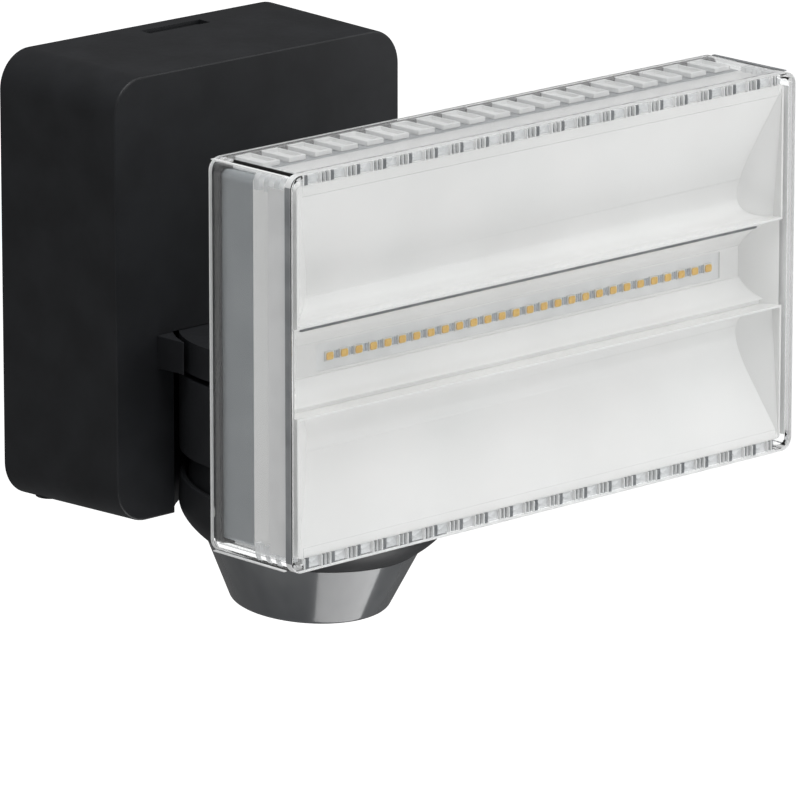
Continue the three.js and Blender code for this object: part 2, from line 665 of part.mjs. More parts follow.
function buildWallBox() {
  const wallBox = new THREE.Group();
  add(wallBox, "back_plate", backPlate(), "blackPlastic");
  add(wallBox, "box_cover", boxCover(), "blackPlastic");
  add(wallBox, "bay_liner", bayLiner(), "blackPlastic");
  add(wallBox, "hub_guard_left", hubGuard(-1), "blackPlastic");
  add(wallBox, "hub_guard_right", hubGuard(1), "blackPlastic");
  add(wallBox, "cover_gasket", coverGasket(), "rubber");
  add(wallBox, "cable_grommet", cableGrommet(), "rubber");
  add(wallBox, "release_latch", releaseLatch(), "blackPlastic");
  add(wallBox, "terminal_block", terminalBlock(), "whitePlastic");
  terminals.forEach((x, i) => add(wallBox, `terminal_screw_${i + 1}`, terminalScrew(x), "steel"));
  add(wallBox, "driver_board", driverBoard(), "greenBoard");
  add(wallBox, "driver_transformer", onBoard([-20, 12], 24, [18, 46]), "rubber");
  add(wallBox, "storage_capacitor", rodY(8, [board.face - 24, board.face - 0.3], [30, 34]), "aluminium");
  add(wallBox, "switching_relay", onBoard([-46, -27], 16, [6, 22]), "whitePlastic");
  add(wallBox, "cover_screw_left", boxScrew(coverScrews[0]), "steel");
  add(wallBox, "cover_screw_right", boxScrew(coverScrews[1]), "steel");
  dials.forEach(({ name, x }) => add(wallBox, name, settingDial(x), "whitePlastic"));
  add(wallBox, "sensor_column", sensorColumn(), "blackPlastic");
  add(wallBox, "bay_shutter", bayShutter(), "blackPlastic");
  add(wallBox, "column_screw_left", columnFixing(columnScrews[0]), "steel");
  add(wallBox, "column_screw_right", columnFixing(columnScrews[1]), "steel");
  return wallBox;
}

function buildArm() {
  const arm = new THREE.Group();
  add(arm, "swivel_arm", swivelArm(), "blackPlastic");
  add(arm, "arm_washer", ringZ(15, 9.6, [-18.1, -17.3], [0, swivelY]), "steel");
  add(arm, "arm_retaining_ring", ringZ(14, 9.3, [-17, -15.6], [0, swivelY]), "steel");
  add(arm, "arm_cap", rodZ(15.8, [-15.1, hub.top], [0, swivelY], ringSteps), "blackPlastic");
  return arm;
}

function buildLampHead() {
  const lamp = new THREE.Group();
  lamp.position.set(0, head.backY, head.centreZ);
  add(lamp, "clear_cover", clearCover(), "clearPlastic");
  add(lamp, "head_gasket", headGasket(), "rubber");
  add(lamp, "head_housing", headHousing(), "greyPlastic");
  add(lamp, "head_grommet", headGrommet(), "rubber");
  headScrews.forEach((at, i) => add(lamp, `head_screw_${i + 1}`, backScrew(at, -23), "steel"));
  add(lamp, "reflector", reflector(), "whitePlastic");
  add(lamp, "heat_spreader", heatSpreader(), "aluminium");
  add(lamp, "led_board", ledBoard(), "whiteBoard");
  add(lamp, "led_row", ledRow(), "phosphor");
  add(lamp, "head_bracket", headBracket(), "steel");
  bracketScrews.forEach((at, i) => add(lamp, `bracket_screw_${i + 1}`, bracketScrew(at), "steel"));
  add(lamp, "tilt_pin", tiltPin(), "steel");
  add(lamp, "tilt_nut", tiltNut(), "steel");
  add(lamp, "tilt_washer_left", tiltWasher(-1), "rubber");
  add(lamp, "tilt_washer_right", tiltWasher(1), "rubber");
  return lamp;
}

function buildSensor() {
  const sensorHead = new THREE.Group();
  sensorHead.position.set(0, swivelY, sensor.pivotZ);
  add(sensorHead, "sensor_ball", sensorBall(), "blackPlastic");
  add(sensorHead, "ball_retainer", ballRetainer(), "steel");
  const leaning = new THREE.Group();
  leaning.rotation.x = THREE.MathUtils.degToRad(sensor.lean);
  add(leaning, "sensor_cup", sensorCup(), "blackPlastic");
  add(leaning, "sensor_lens", sensorLens(), "smokePlastic");
  add(leaning, "sensor_board", sensorBoard(), "greenBoard");
  add(leaning, "pyro_sensor_left", pyroSensor(-pyro.x), "steel");
  add(leaning, "pyro_sensor_right", pyroSensor(pyro.x), "steel");
  add(leaning, "sensor_pin_left", sensorPin(-1), "steel");
  add(leaning, "sensor_pin_right", sensorPin(1), "steel");
  sensorHead.add(leaning);
  return sensorHead;
}

floodlight.add(buildWallBox(), buildArm(), buildLampHead(), buildSensor());

export default floodlight;
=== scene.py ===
"""Looks of a wall floodlight with a motion sensor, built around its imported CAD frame.

Every shape is drawn in millimetres in the CAD model's frame: the origin is the middle of the wall
face, +X is to the right seen from the front, -Y points away from the wall and +Z is up.
"""

import json
import math

import bmesh
import bpy
from mathutils import Matrix, Vector


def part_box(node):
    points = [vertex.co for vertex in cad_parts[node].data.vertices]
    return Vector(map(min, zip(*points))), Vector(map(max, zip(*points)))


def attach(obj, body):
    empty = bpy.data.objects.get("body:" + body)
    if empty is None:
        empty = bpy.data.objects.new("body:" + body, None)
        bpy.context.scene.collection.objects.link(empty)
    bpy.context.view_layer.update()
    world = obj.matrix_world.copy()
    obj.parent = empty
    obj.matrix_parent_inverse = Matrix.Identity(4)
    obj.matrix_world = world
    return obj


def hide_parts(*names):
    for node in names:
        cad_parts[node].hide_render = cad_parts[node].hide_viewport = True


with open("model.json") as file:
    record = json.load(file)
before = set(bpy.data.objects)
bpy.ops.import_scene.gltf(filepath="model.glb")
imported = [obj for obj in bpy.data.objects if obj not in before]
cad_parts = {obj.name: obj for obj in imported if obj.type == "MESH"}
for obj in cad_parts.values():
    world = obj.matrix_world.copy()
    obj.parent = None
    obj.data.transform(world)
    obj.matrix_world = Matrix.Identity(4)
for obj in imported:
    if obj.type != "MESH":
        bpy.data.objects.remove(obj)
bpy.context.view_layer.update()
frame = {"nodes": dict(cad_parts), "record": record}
scene = bpy.context.scene

MM = 0.001
# Steps around a turned shape, from thin holes to the bay's wide wall.
THIN = 32
ROUND = 48
FINE = 96
BROAD = 144
# How far a cutting tool reaches past the face it opens, past every piece, and past everything.
PAST = 5
FAR = 120
HUGE = 400
# An eased corner takes less than half of the side before and after it.
SIDE_SHARE = 2.2


# ---------------- places taken from the frame


def extent(node):
    """The lowest and highest corner of a CAD node, in millimetres."""
    low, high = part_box(node)
    return Vector(low) / MM, Vector(high) / MM


def centre(node):
    low, high = extent(node)
    return (low + high) / 2


def pivot(joint_name):
    """Where a joint turns, in millimetres."""
    joint = next(j for j in frame["record"]["behaviour"]["joints"] if j["name"] == joint_name)
    return Vector(joint["pos_m"]) / MM


COVER_LOW, COVER_HIGH = extent("box_cover")
HEAD_LOW, HEAD_HIGH = extent("clear_cover")
COLUMN_LOW, COLUMN_HIGH = extent("sensor_column")
HUB_LOW, HUB_HIGH = extent("swivel_arm")

BOX_DEPTH = -COVER_LOW.y
SWIVEL = pivot("arm_swivel")
TILT = pivot("lamp_tilt")
SENSOR = pivot("sensor_tilt")

HEAD_WIDTH = HEAD_HIGH.x - HEAD_LOW.x
HEAD_HEIGHT = HEAD_HIGH.z - HEAD_LOW.z
HEAD_DEPTH = HEAD_HIGH.y - HEAD_LOW.y
# The lamp head is drawn from the middle of its back rim, then moved there.
HEAD_PLACE = Matrix.Translation((0, HEAD_HIGH.y, (HEAD_LOW.z + HEAD_HIGH.z) / 2))

SENSOR_LEAN = math.radians(5.1)
# The leaning sensor pieces are drawn upright about the tilt centre, then leaned and moved.
SENSOR_PLACE = Matrix.Translation(SENSOR) @ Matrix.Rotation(SENSOR_LEAN, 4, "X")


# ---------------- outlines


def eased(points, reach, closed=True, steps=4):
    """Rounds the corners of an outline: each curve starts `reach` before its corner."""
    result = []
    for i, corner in enumerate(points):
        if not closed and i in (0, len(points) - 1):
            result.append(tuple(corner))
            continue
        here = Vector(corner)
        before = Vector(points[i - 1]) - here
        after = Vector(points[(i + 1) % len(points)]) - here
        start = here + before.normalized() * min(reach, before.length / SIDE_SHARE)
        end = here + after.normalized() * min(reach, after.length / SIDE_SHARE)
        for k in range(steps + 1):
            t = k / steps
            result.append(tuple(start.lerp(here, t).lerp(here.lerp(end, t), t)))
    return result


def arc(middle, radius, start, end, steps):
    """Points on a circle between two angles in degrees."""
    angles = [math.radians(start + (end - start) * k / steps) for k in range(steps + 1)]
    return [(middle[0] + radius * math.cos(a), middle[1] + radius * math.sin(a)) for a in angles]


def rounded_rectangle(width, height, radius, steps=10):
    x = width / 2 - radius
    z = height / 2 - radius
    corners = [((x, z), 0), ((-x, z), 90), ((-x, -z), 180), ((x, -z), 270)]
    return [p for middle, start in corners for p in arc(middle, radius, start, start + 90, steps)]


def curve_points(p0, p1, p2, p3, steps):
    """Points on a cubic Bezier curve."""
    result = []
    for k in range(steps + 1):
        t = k / steps
        u = 1 - t
        weighted = list(zip((u**3, 3 * u * u * t, 3 * u * t * t, t**3), (p0, p1, p2, p3)))
        result.append(tuple(sum(weight * point[i] for weight, point in weighted) for i in (0, 1)))
    return result


# ---------------- closed meshes


def skin(rings):
    """Joins rings of points into one closed surface with a flat cap on each end."""
    mesh = bmesh.new()
    loops = [[mesh.verts.new(point) for point in ring] for ring in rings]
    for first, second in zip(loops, loops[1:]):
        for i in range(len(first)):
            j = i - 1
            mesh.faces.new((first[j], first[i], second[i], second[j]))
    mesh.faces.new(loops[0])
    mesh.faces.new(loops[-1])
    bmesh.ops.recalc_face_normals(mesh, faces=mesh.faces)
    return mesh


def plate_y(outline, back, front):
    """An outline of (x, z) points, made solid between two depths."""
    return skin([[(x, y, z) for x, z in outline] for y in (back, front)])


def beam_x(outline, left, right):
    """An outline of (y, z) points, made solid along X."""
    return skin([[(x, y, z) for y, z in outline] for x in (left, right)])


def slab_z(outline, low, high):
    """An outline of (x, y) points, made solid along Z."""
    return skin([[(x, y, z) for x, y in outline] for z in (low, high)])


def turned(outline, steps=FINE):
    """Turns a closed outline of (radius, z) points, or one that ends on the Z axis, about that axis."""
    mesh = bmesh.new()
    verts = [mesh.verts.new((radius, 0, z)) for radius, z in outline]
    edges = [mesh.edges.new(pair) for pair in zip(verts, verts[1:])]
    if outline[0][0] > 0:
        edges.append(mesh.edges.new((verts[-1], verts[0])))
    bmesh.ops.spin(
        mesh,
        geom=verts + edges,
        cent=(0, 0, 0),
        axis=(0, 0, 1),
        angle=math.tau,
        steps=steps,
        use_merge=True,
    )
    bmesh.ops.remove_doubles(mesh, verts=mesh.verts, dist=1e-4)
    bmesh.ops.recalc_face_normals(mesh, faces=mesh.faces)
    return mesh


def rod(radius, low, high, steps=FINE):
    """An upright cylinder about the Z axis, as a tool for cuts and joins."""
    return turned([(0, low), (radius, low), (radius, high), (0, high)], steps)


def upright(radius, low, high, at, steps=ROUND):
    """An upright cylinder above or below a place."""
    return moved(rod(radius, low, high, steps), (at.x, at.y, 0))


def around(middle, half):
    """The two ends of a stretch with a given middle and half length."""
    return (middle - half, middle + half)


def span(side, first, last):
    """The two ends of a stretch, lowest first, on one side (1 or -1) of the middle."""
    return sorted((side * first, side * last))


def block(x_span, y_span, z_span, ease=0.0):
    """A box with its edges rounded by `ease`."""
    corners = [(x_span[i], y_span[j]) for i, j in ((0, 0), (1, 0), (1, 1), (0, 1))]
    mesh = slab_z(corners, *z_span)
    return eased_edges(mesh, ease) if ease else mesh


def sharp_edges(mesh, sharper_than=30):
    limit = math.radians(sharper_than)
    return [e for e in mesh.edges if len(e.link_faces) == 2 and e.calc_face_angle(0) > limit]


def eased_edges(mesh, width, sharper_than=30, segments=3):
    """Rounds every edge that is sharper than an angle in degrees."""
    bmesh.ops.bevel(
        mesh,
        geom=sharp_edges(mesh, sharper_than),
        offset=width,
        offset_type="OFFSET",
        segments=segments,
        profile=0.5,
        affect="EDGES",
        clamp_overlap=True,
    )
    return mesh


def moved(mesh, offset=(0, 0, 0), turn=0, axis="X"):
    """Turns a mesh about the origin by degrees, then moves it."""
    mesh.transform(Matrix.Translation(offset) @ Matrix.Rotation(math.radians(turn), 4, axis))
    return mesh


def lying_x(mesh, offset=(0, 0, 0)):
    """Lays an upright mesh along X and moves it."""
    return moved(mesh, offset, 90, "Y")


def lying_y(mesh, offset=(0, 0, 0)):
    """Lays an upright mesh along Y, its top to the front, and moves it."""
    return moved(mesh, offset, 90, "X")


def stacked(meshes):
    """One mesh that holds several separate bodies."""
    whole = bmesh.new()
    for mesh in meshes:
        carrier = bpy.data.meshes.new("carrier")
        mesh.to_mesh(carrier)
        mesh.free()
        whole.from_mesh(carrier)
        bpy.data.meshes.remove(carrier)
    return whole


def loose_object(mesh):
    data = bpy.data.meshes.new("tool")
    mesh.to_mesh(data)
    mesh.free()
    holder = bpy.data.objects.new("tool", data)
    scene.collection.objects.link(holder)
    return holder


def combined(operation, base, *tools):
    """Cuts, joins or intersects closed meshes with exact booleans, one tool after another."""
    carrier = loose_object(base)
    helpers = [loose_object(tool) for tool in tools]
    for helper in helpers:
        step = carrier.modifiers.new("step", "BOOLEAN")
        step.operation = operation
        step.solver = "EXACT"
        step.object = helper
    bpy.context.view_layer.update()
    evaluated = carrier.evaluated_get(bpy.context.evaluated_depsgraph_get())
    result = bmesh.new()
    result.from_mesh(evaluated.to_mesh())
    evaluated.to_mesh_clear()
    for holder in (carrier, *helpers):
        data = holder.data
        bpy.data.objects.remove(holder)
        bpy.data.meshes.remove(data)
    bmesh.ops.remove_doubles(result, verts=result.verts, dist=0.01)
    bmesh.ops.dissolve_limit(
        result, angle_limit=math.radians(0.5), verts=result.verts, edges=result.edges, delimit={"NORMAL"}
    )
    return result


def cut(base, *tools):
    return combined("DIFFERENCE", base, *tools)


def join(base, *tools):
    return combined("UNION", base, *tools)


def common(base, *tools):
    return combined("INTERSECT", base, *tools)


def piece(name, mesh, material, body, stands_for=(), place=None, smooth=35):
    """Turns a mesh drawn in millimetres into a finished piece that rides on a CAD body."""
    if place is not None:
        mesh.transform(place)
    mesh.transform(Matrix.Scale(MM, 4))
    bmesh.ops.recalc_face_normals(mesh, faces=mesh.faces)
    data = bpy.data.meshes.new(name)
    mesh.to_mesh(data)
    mesh.free()
    data.shade_smooth()
    data.set_sharp_from_angle(angle=math.radians(smooth))
    data.materials.append(material)
    made = bpy.data.objects.new(name, data)
    scene.collection.objects.link(made)
    shading = made.modifiers.new("even shading", "WEIGHTED_NORMAL")
    shading.keep_sharp = True
    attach(made, body)
    if stands_for:
        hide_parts(*stands_for)
    return made


# ---------------- material helpers


def plain_surface(name, **sockets):
    """A new Principled material with the given values set on its own sockets."""
    material = bpy.data.materials.new(name)
    material.use_nodes = True
    shader = material.node_tree.nodes["Principled BSDF"]
    for socket, value in sockets.items():
        shader.inputs[socket.replace("_", " ")].default_value = value
    return material


def shader_of(material):
    return material.node_tree.nodes["Principled BSDF"]


def noise(scale, detail=3.0, stretch=(1, 1, 1)):
    """Makes a noise fixed to the object, `scale` features to the metre, stretched along an axis."""

    def pattern_in(material):
        nodes = material.node_tree.nodes
        links = material.node_tree.links
        place = nodes.new("ShaderNodeTexCoord")
        mapping = nodes.new("ShaderNodeMapping")
        mapping.inputs["Scale"].default_value = stretch
        pattern = nodes.new("ShaderNodeTexNoise")
        pattern.inputs["Scale"].default_value = scale
        pattern.inputs["Detail"].default_value = detail
        links.new(place.outputs["Object"], mapping.inputs["Vector"])
        links.new(mapping.outputs["Vector"], pattern.inputs["Vector"])
        return pattern.outputs["Fac"]

    return pattern_in


def vary_colour(material, pattern, dark, light):
    """Lets the base colour wander between two colours."""
    ramp = material.node_tree.nodes.new("ShaderNodeValToRGB")
    ramp.color_ramp.elements[0].position = 0.35
    ramp.color_ramp.elements[1].position = 0.65
    ramp.color_ramp.elements[0].color = (*dark, 1)
    ramp.color_ramp.elements[1].color = (*light, 1)
    links = material.node_tree.links
    links.new(pattern(material), ramp.inputs["Fac"])
    links.new(ramp.outputs["Color"], shader_of(material).inputs["Base Color"])


def vary_roughness(material, pattern, low, high):
    """Lets the roughness wander between two values."""
    spread = material.node_tree.nodes.new("ShaderNodeMapRange")
    spread.inputs["From Min"].default_value = 0.3
    spread.inputs["From Max"].default_value = 0.7
    spread.inputs["To Min"].default_value = low
    spread.inputs["To Max"].default_value = high
    links = material.node_tree.links
    links.new(pattern(material), spread.inputs["Value"])
    links.new(spread.outputs["Result"], shader_of(material).inputs["Roughness"])


def raise_grain(material, pattern, strength, height_mm):
    """Adds a fine surface relief."""
    bump = material.node_tree.nodes.new("ShaderNodeBump")
    bump.inputs["Strength"].default_value = strength
    bump.inputs["Distance"].default_value = height_mm * MM
    links = material.node_tree.links
    links.new(pattern(material), bump.inputs["Height"])
    links.new(bump.outputs["Normal"], shader_of(material).inputs["Normal"])


def let_light_in(material):
    """Makes a clear or smoked material pass light to what lies behind it, as thin clear plastic does."""
    nodes = material.node_tree.nodes
    links = material.node_tree.links
    ray = nodes.new("ShaderNodeLightPath")
    either = nodes.new("ShaderNodeMath")
    either.operation = "MAXIMUM"
    passing = nodes.new("ShaderNodeBsdfTransparent")
    mix = nodes.new("ShaderNodeMixShader")
    links.new(ray.outputs["Is Shadow Ray"], either.inputs[0])
    links.new(ray.outputs["Is Diffuse Ray"], either.inputs[1])
    links.new(either.outputs["Value"], mix.inputs["Fac"])
    links.new(shader_of(material).outputs["BSDF"], mix.inputs[1])
    links.new(passing.outputs["BSDF"], mix.inputs[2])
    links.new(mix.outputs["Shader"], nodes["Material Output"].inputs["Surface"])


# ---------------- materials


def moulded_black(name, tint, roughness):
    """Black moulded plastic with a fine satin grain."""
    material = plain_surface(name, IOR=1.5)
    vary_colour(material, noise(60), tint, tuple(1.35 * c for c in tint))
    vary_roughness(material, noise(350, 4), roughness - 0.03, roughness + 0.04)
    raise_grain(material, noise(2600, 2), 0.12, 0.05)
    return material


def grey_housing_plastic():
    material = plain_surface("grey_housing_plastic", IOR=1.5)
    vary_colour(material, noise(45), (0.235, 0.255, 0.27), (0.275, 0.295, 0.31))
    vary_roughness(material, noise(400, 4), 0.36, 0.46)
    raise_grain(material, noise(2200, 2), 0.15, 0.05)
    return material


def glossy_white_plastic():
    material = plain_surface("glossy_white_plastic", IOR=1.52, Coat_Weight=0.6, Coat_Roughness=0.06)
    vary_colour(material, noise(30), (0.83, 0.83, 0.82), (0.88, 0.88, 0.87))
    vary_roughness(material, noise(60, 3), 0.16, 0.24)
    raise_grain(material, noise(40, 1), 0.02, 0.03)
    return material


def ivory_plastic():
    material = plain_surface("ivory_plastic", IOR=1.5)
    vary_colour(material, noise(80), (0.74, 0.73, 0.70), (0.80, 0.79, 0.76))
    vary_roughness(material, noise(500, 4), 0.38, 0.5)
    raise_grain(material, noise(2500, 2), 0.1, 0.04)
    return material


def clear_plastic():
    """Clear moulded acrylic with faint flow lines."""
    material = plain_surface("clear_plastic", IOR=1.49, Transmission_Weight=1.0)
    vary_colour(material, noise(25), (0.975, 0.985, 0.985), (0.995, 0.998, 0.998))
    vary_roughness(material, noise(180, 3), 0.0, 0.02)
    raise_grain(material, noise(70, 2, (1, 1, 3)), 0.02, 0.05)
    let_light_in(material)
    return material


def prism_plastic():
    """The cover's prisms: clear plastic that scatters some light on its fine facets."""
    material = plain_surface("prism_plastic", IOR=1.49, Transmission_Weight=0.35)
    vary_colour(material, noise(300), (0.72, 0.74, 0.75), (0.84, 0.85, 0.86))
    vary_roughness(material, noise(900, 3), 0.06, 0.14)
    raise_grain(material, noise(500, 2), 0.05, 0.04)
    let_light_in(material)
    return material


def frosted_plastic(name, dark, light):
    """A ground or moulded edge of the clear plastic, which scatters light; in grey colours it is painted
    shade.
    """
    material = plain_surface(name, IOR=1.2)
    vary_colour(material, noise(120), dark, light)
    vary_roughness(material, noise(700, 3), 0.35, 0.5)
    return material


def smoke_plastic():
    """Smoke-grey lens plastic: glossy outside, with cloudy light and dark zones inside."""
    material = plain_surface("smoke_plastic", IOR=1.5, Coat_Weight=0.6, Coat_Roughness=0.06)
    vary_colour(material, noise(32, 3, (1, 1, 0.35)), (0.085, 0.089, 0.095), (0.16, 0.165, 0.17))
    vary_roughness(material, noise(220, 4), 0.12, 0.22)
    raise_grain(material, noise(90, 2, (1, 1, 0.4)), 0.05, 0.08)
    return material


def soft_rubber():
    material = plain_surface("soft_rubber", IOR=1.5)
    vary_colour(material, noise(200), (0.018, 0.018, 0.019), (0.03, 0.03, 0.031))
    vary_roughness(material, noise(700, 4), 0.6, 0.8)
    raise_grain(material, noise(3000, 3), 0.3, 0.05)
    return material


def plated_steel():
    material = plain_surface("plated_steel", Metallic=1.0)
    vary_colour(material, noise(150), (0.50, 0.50, 0.49), (0.62, 0.62, 0.61))
    vary_roughness(material, noise(900, 5), 0.26, 0.42)
    raise_grain(material, noise(1800, 3), 0.08, 0.02)
    return material


def brushed_aluminium():
    material = plain_surface("brushed_aluminium", Metallic=1.0)
    vary_colour(material, noise(900, 4, (0.03, 1, 1)), (0.66, 0.67, 0.68), (0.78, 0.79, 0.80))
    vary_roughness(material, noise(1200, 4, (0.03, 1, 1)), 0.28, 0.42)
    raise_grain(material, noise(1500, 3, (0.03, 1, 1)), 0.1, 0.02)
    return material


def printed_board(name, dark, light):
    """A circuit board's solder mask over faint copper areas."""
    material = plain_surface(name, IOR=1.5, Coat_Weight=0.3)
    vary_colour(material, noise(160, 0), dark, light)
    vary_roughness(material, noise(600, 3), 0.3, 0.42)
    raise_grain(material, noise(160, 0), 0.25, 0.05)
    return material


def phosphor_gel():
    material = plain_surface("phosphor_gel", IOR=1.41, Subsurface_Weight=0.15)
    shader_of(material).inputs["Subsurface Radius"].default_value = (0.0006, 0.0004, 0.0001)
    vary_colour(material, noise(1500, 3), (0.80, 0.47, 0.09), (0.90, 0.60, 0.16))
    vary_roughness(material, noise(900, 3), 0.25, 0.4)
    return material


def tinned_pads():
    material = plain_surface("tinned_pads", Metallic=0.6)
    vary_colour(material, noise(700), (0.30, 0.32, 0.34), (0.40, 0.42, 0.44))
    vary_roughness(material, noise(1200, 3), 0.3, 0.45)
    return material


BLACK = moulded_black("satin_black_plastic", (0.0145, 0.0155, 0.0178), 0.47)
BLACK_MATT = moulded_black("matt_black_plastic", (0.013, 0.0138, 0.0150), 0.5)
GREY = grey_housing_plastic()
WHITE = glossy_white_plastic()
IVORY = ivory_plastic()
CLEAR = clear_plastic()
PRISM = prism_plastic()
FROST = frosted_plastic("frosted_edge", (0.88, 0.885, 0.885), (0.94, 0.945, 0.945))
# A grey copy of the frosted edge, used as painted shade on the clear cover's left edge and right wall
# strips.
EDGE_PAINTED_SHADE = frosted_plastic("edge_painted_shade", (0.26, 0.27, 0.28), (0.34, 0.35, 0.36))
# A darker grey copy of the frosted edge, used as painted shade between the cover's prisms and under the
# mirror's upper ridge.
DARK_PAINTED_SHADE = frosted_plastic("dark_painted_shade", (0.13, 0.14, 0.15), (0.20, 0.21, 0.22))
SMOKE = smoke_plastic()
RUBBER = soft_rubber()
STEEL = plated_steel()
ALUMINIUM = brushed_aluminium()
BOARD_GREEN = printed_board("green_board", (0.012, 0.075, 0.035), (0.022, 0.11, 0.052))
BOARD_WHITE = printed_board("white_board", (0.78, 0.79, 0.79), (0.84, 0.85, 0.85))
PHOSPHOR = phosphor_gel()
TIN = tinned_pads()

LOOK_OF_SLOT = {
    "black_plastic": BLACK,
    "grey_plastic": GREY,
    "white_plastic": IVORY,
    "clear_plastic": CLEAR,
    "smoke_plastic": SMOKE,
    "rubber": RUBBER,
    "steel": STEEL,
    "aluminium": ALUMINIUM,
    "board_green": BOARD_GREEN,
    "board_white": BOARD_WHITE,
    "phosphor": PHOSPHOR,
}


def dress_cad_nodes():
    """Gives every CAD node the finished material of its slot."""
    slot_of = {part["node"]: part["material_slot"] for part in frame["record"]["subparts"]}
    for node, shown in frame["nodes"].items():
        shown.data.materials.clear()
        shown.data.materials.append(LOOK_OF_SLOT[slot_of[node]])


# ---------------- wall box

DRAFT = 1.25
BOX_CORNER = 13
BOX_WALL = 2.5
BOX_EDGE = 0.8
EDGE_STEPS = 4
BAY_RADIUS = 48.6
BAY_WALL = 2.2
BAY_ROOF = 2.5
BAY_FLANGE = 3
BAY_TOP = extent("bay_liner")[1].z
# The opening in the bay's wall for the sensor column's tongue.
TONGUE_OPENING = ((-18.6, 18.6), (-46, -33), (-70, -29.4))
LATCH_LOW, LATCH_HIGH = extent("release_latch")
LATCH_TAB_INSET = 2.7
LATCH_SLOT_INSET = 1.3
LATCH_SLOT_GAP = 0.7
LATCH_SLOT_DEPTH = 9
LATCH_RIB_PITCH = 2.4
COVER_SCREWS = [centre("cover_screw_left"), centre("cover_screw_right")]
SCREW_BOSS_RADIUS = 5.4
SCREW_BOSS_TOP = -72.2
SCREW_HOLE_RADIUS = 2.1
SCREW_HOLE_TOP = -70
SCREW_SEAT_RADIUS = 3.9
SCREW_SEAT_Z = -74.6
DIAL_BODIES = {"time_dial": "time_knob", "twilight_dial": "twilight_knob", "range_dial": "range_knob"}
DIAL_HOLE_RADIUS = 5.6


def box_ring(inset, y):
    """The box's outline at one depth, a little wider at the wall, as its mould needs."""
    widening = 2 * DRAFT * (1 + y / BOX_DEPTH)
    width = COVER_HIGH.x - COVER_LOW.x - 2 * DRAFT + widening - 2 * inset
    height = COVER_HIGH.z - COVER_LOW.z - 2 * DRAFT + widening - 2 * inset
    outline = rounded_rectangle(width, height, BOX_CORNER - inset, 14)
    return [(x, y, z) for x, z in outline]


def box_outside():
    rings = [box_ring(0, 0)]
    for k in range(EDGE_STEPS + 1):
        turn = math.radians(90 * k / EDGE_STEPS)
        inset = BOX_EDGE * (1 - math.cos(turn))
        rings.append(box_ring(inset, -BOX_DEPTH + BOX_EDGE * (1 - math.sin(turn))))
    return skin(rings)


def bay_cylinder(radius, top):
    """An upright cylinder about the swivel axis, from well below the box."""
    return upright(radius, COVER_LOW.z - 4 * PAST, top, SWIVEL, BROAD)


def flange_disc():
    """The flange at the foot of the bay's round wall, which lies in a seat in the box's floor."""
    disc = bay_cylinder(BAY_RADIUS + BAY_WALL + BAY_FLANGE, COVER_LOW.z + BOX_WALL + DRAFT)
    return common(disc, block(around(0, FAR), (-BOX_DEPTH + BOX_WALL, 0), (COVER_LOW.z - PAST, 0)))


def box_cover():
    inside = skin([box_ring(BOX_WALL, 1), box_ring(BOX_WALL, -BOX_DEPTH + BOX_WALL)])
    latch_slot = block(
        (LATCH_LOW.x + LATCH_SLOT_INSET, LATCH_HIGH.x - LATCH_SLOT_INSET),
        (LATCH_LOW.y - LATCH_SLOT_GAP, LATCH_HIGH.y + LATCH_SLOT_GAP),
        (COVER_HIGH.z - LATCH_SLOT_DEPTH, COVER_HIGH.z + PAST),
    )
    below = COVER_LOW.z - PAST
    holes = [upright(DIAL_HOLE_RADIUS, below, COVER_LOW.z + 9, centre(node)) for node in DIAL_BODIES]
    holes += [upright(SCREW_HOLE_RADIUS, below, SCREW_HOLE_TOP, at, THIN) for at in COVER_SCREWS]
    holes += [upright(SCREW_SEAT_RADIUS, below, SCREW_SEAT_Z, at) for at in COVER_SCREWS]
    bosses = [upright(SCREW_BOSS_RADIUS, COVER_LOW.z + 1, SCREW_BOSS_TOP, at) for at in COVER_SCREWS]
    shell = join(cut(box_outside(), inside), *bosses)
    bay = bay_cylinder(BAY_RADIUS + BAY_WALL, BAY_TOP)
    mesh = cut(shell, bay, flange_disc(), latch_slot, *holes)
    piece("wall_box_cover", mesh, BLACK, "wall_box", ("box_cover",))


def bay_liner():
    whole = join(bay_cylinder(BAY_RADIUS + BAY_WALL, BAY_TOP), flange_disc())
    ring = common(whole, box_outside())
    mesh = cut(ring, bay_cylinder(BAY_RADIUS, BAY_TOP - BAY_ROOF), block(*TONGUE_OPENING))
    piece("bay_wall", eased_edges(mesh, 0.3), BLACK, "wall_box", ("bay_liner",))


def hub_guards():
    """The two ledges beside the hub."""
    for side, node in ((-1, "hub_guard_left"), (1, "hub_guard_right")):
        low, high = extent(node)
        x_span = (low.x, 0) if side < 0 else (0, high.x)
        slab = block(x_span, (low.y, high.y), (low.z, high.z))
        mesh = eased_edges(cut(slab, bay_cylinder(BAY_RADIUS, 10)), 0.5)
        piece(node + "_ledge", mesh, BLACK, "wall_box", (node,))


def shutter():
    """The curved plate that closes the bay's opening under the tongue."""
    low, high = extent("bay_shutter")
    slab = block((low.x, high.x), (low.y - 1, high.y + 1), (low.z, high.z))
    within = common(slab, bay_cylinder(BAY_RADIUS + BAY_WALL, 0))
    mesh = eased_edges(cut(within, bay_cylinder(BAY_RADIUS, 0)), 0.3)
    piece("bay_shutter_plate", mesh, BLACK_MATT, "wall_box", ("bay_shutter",))


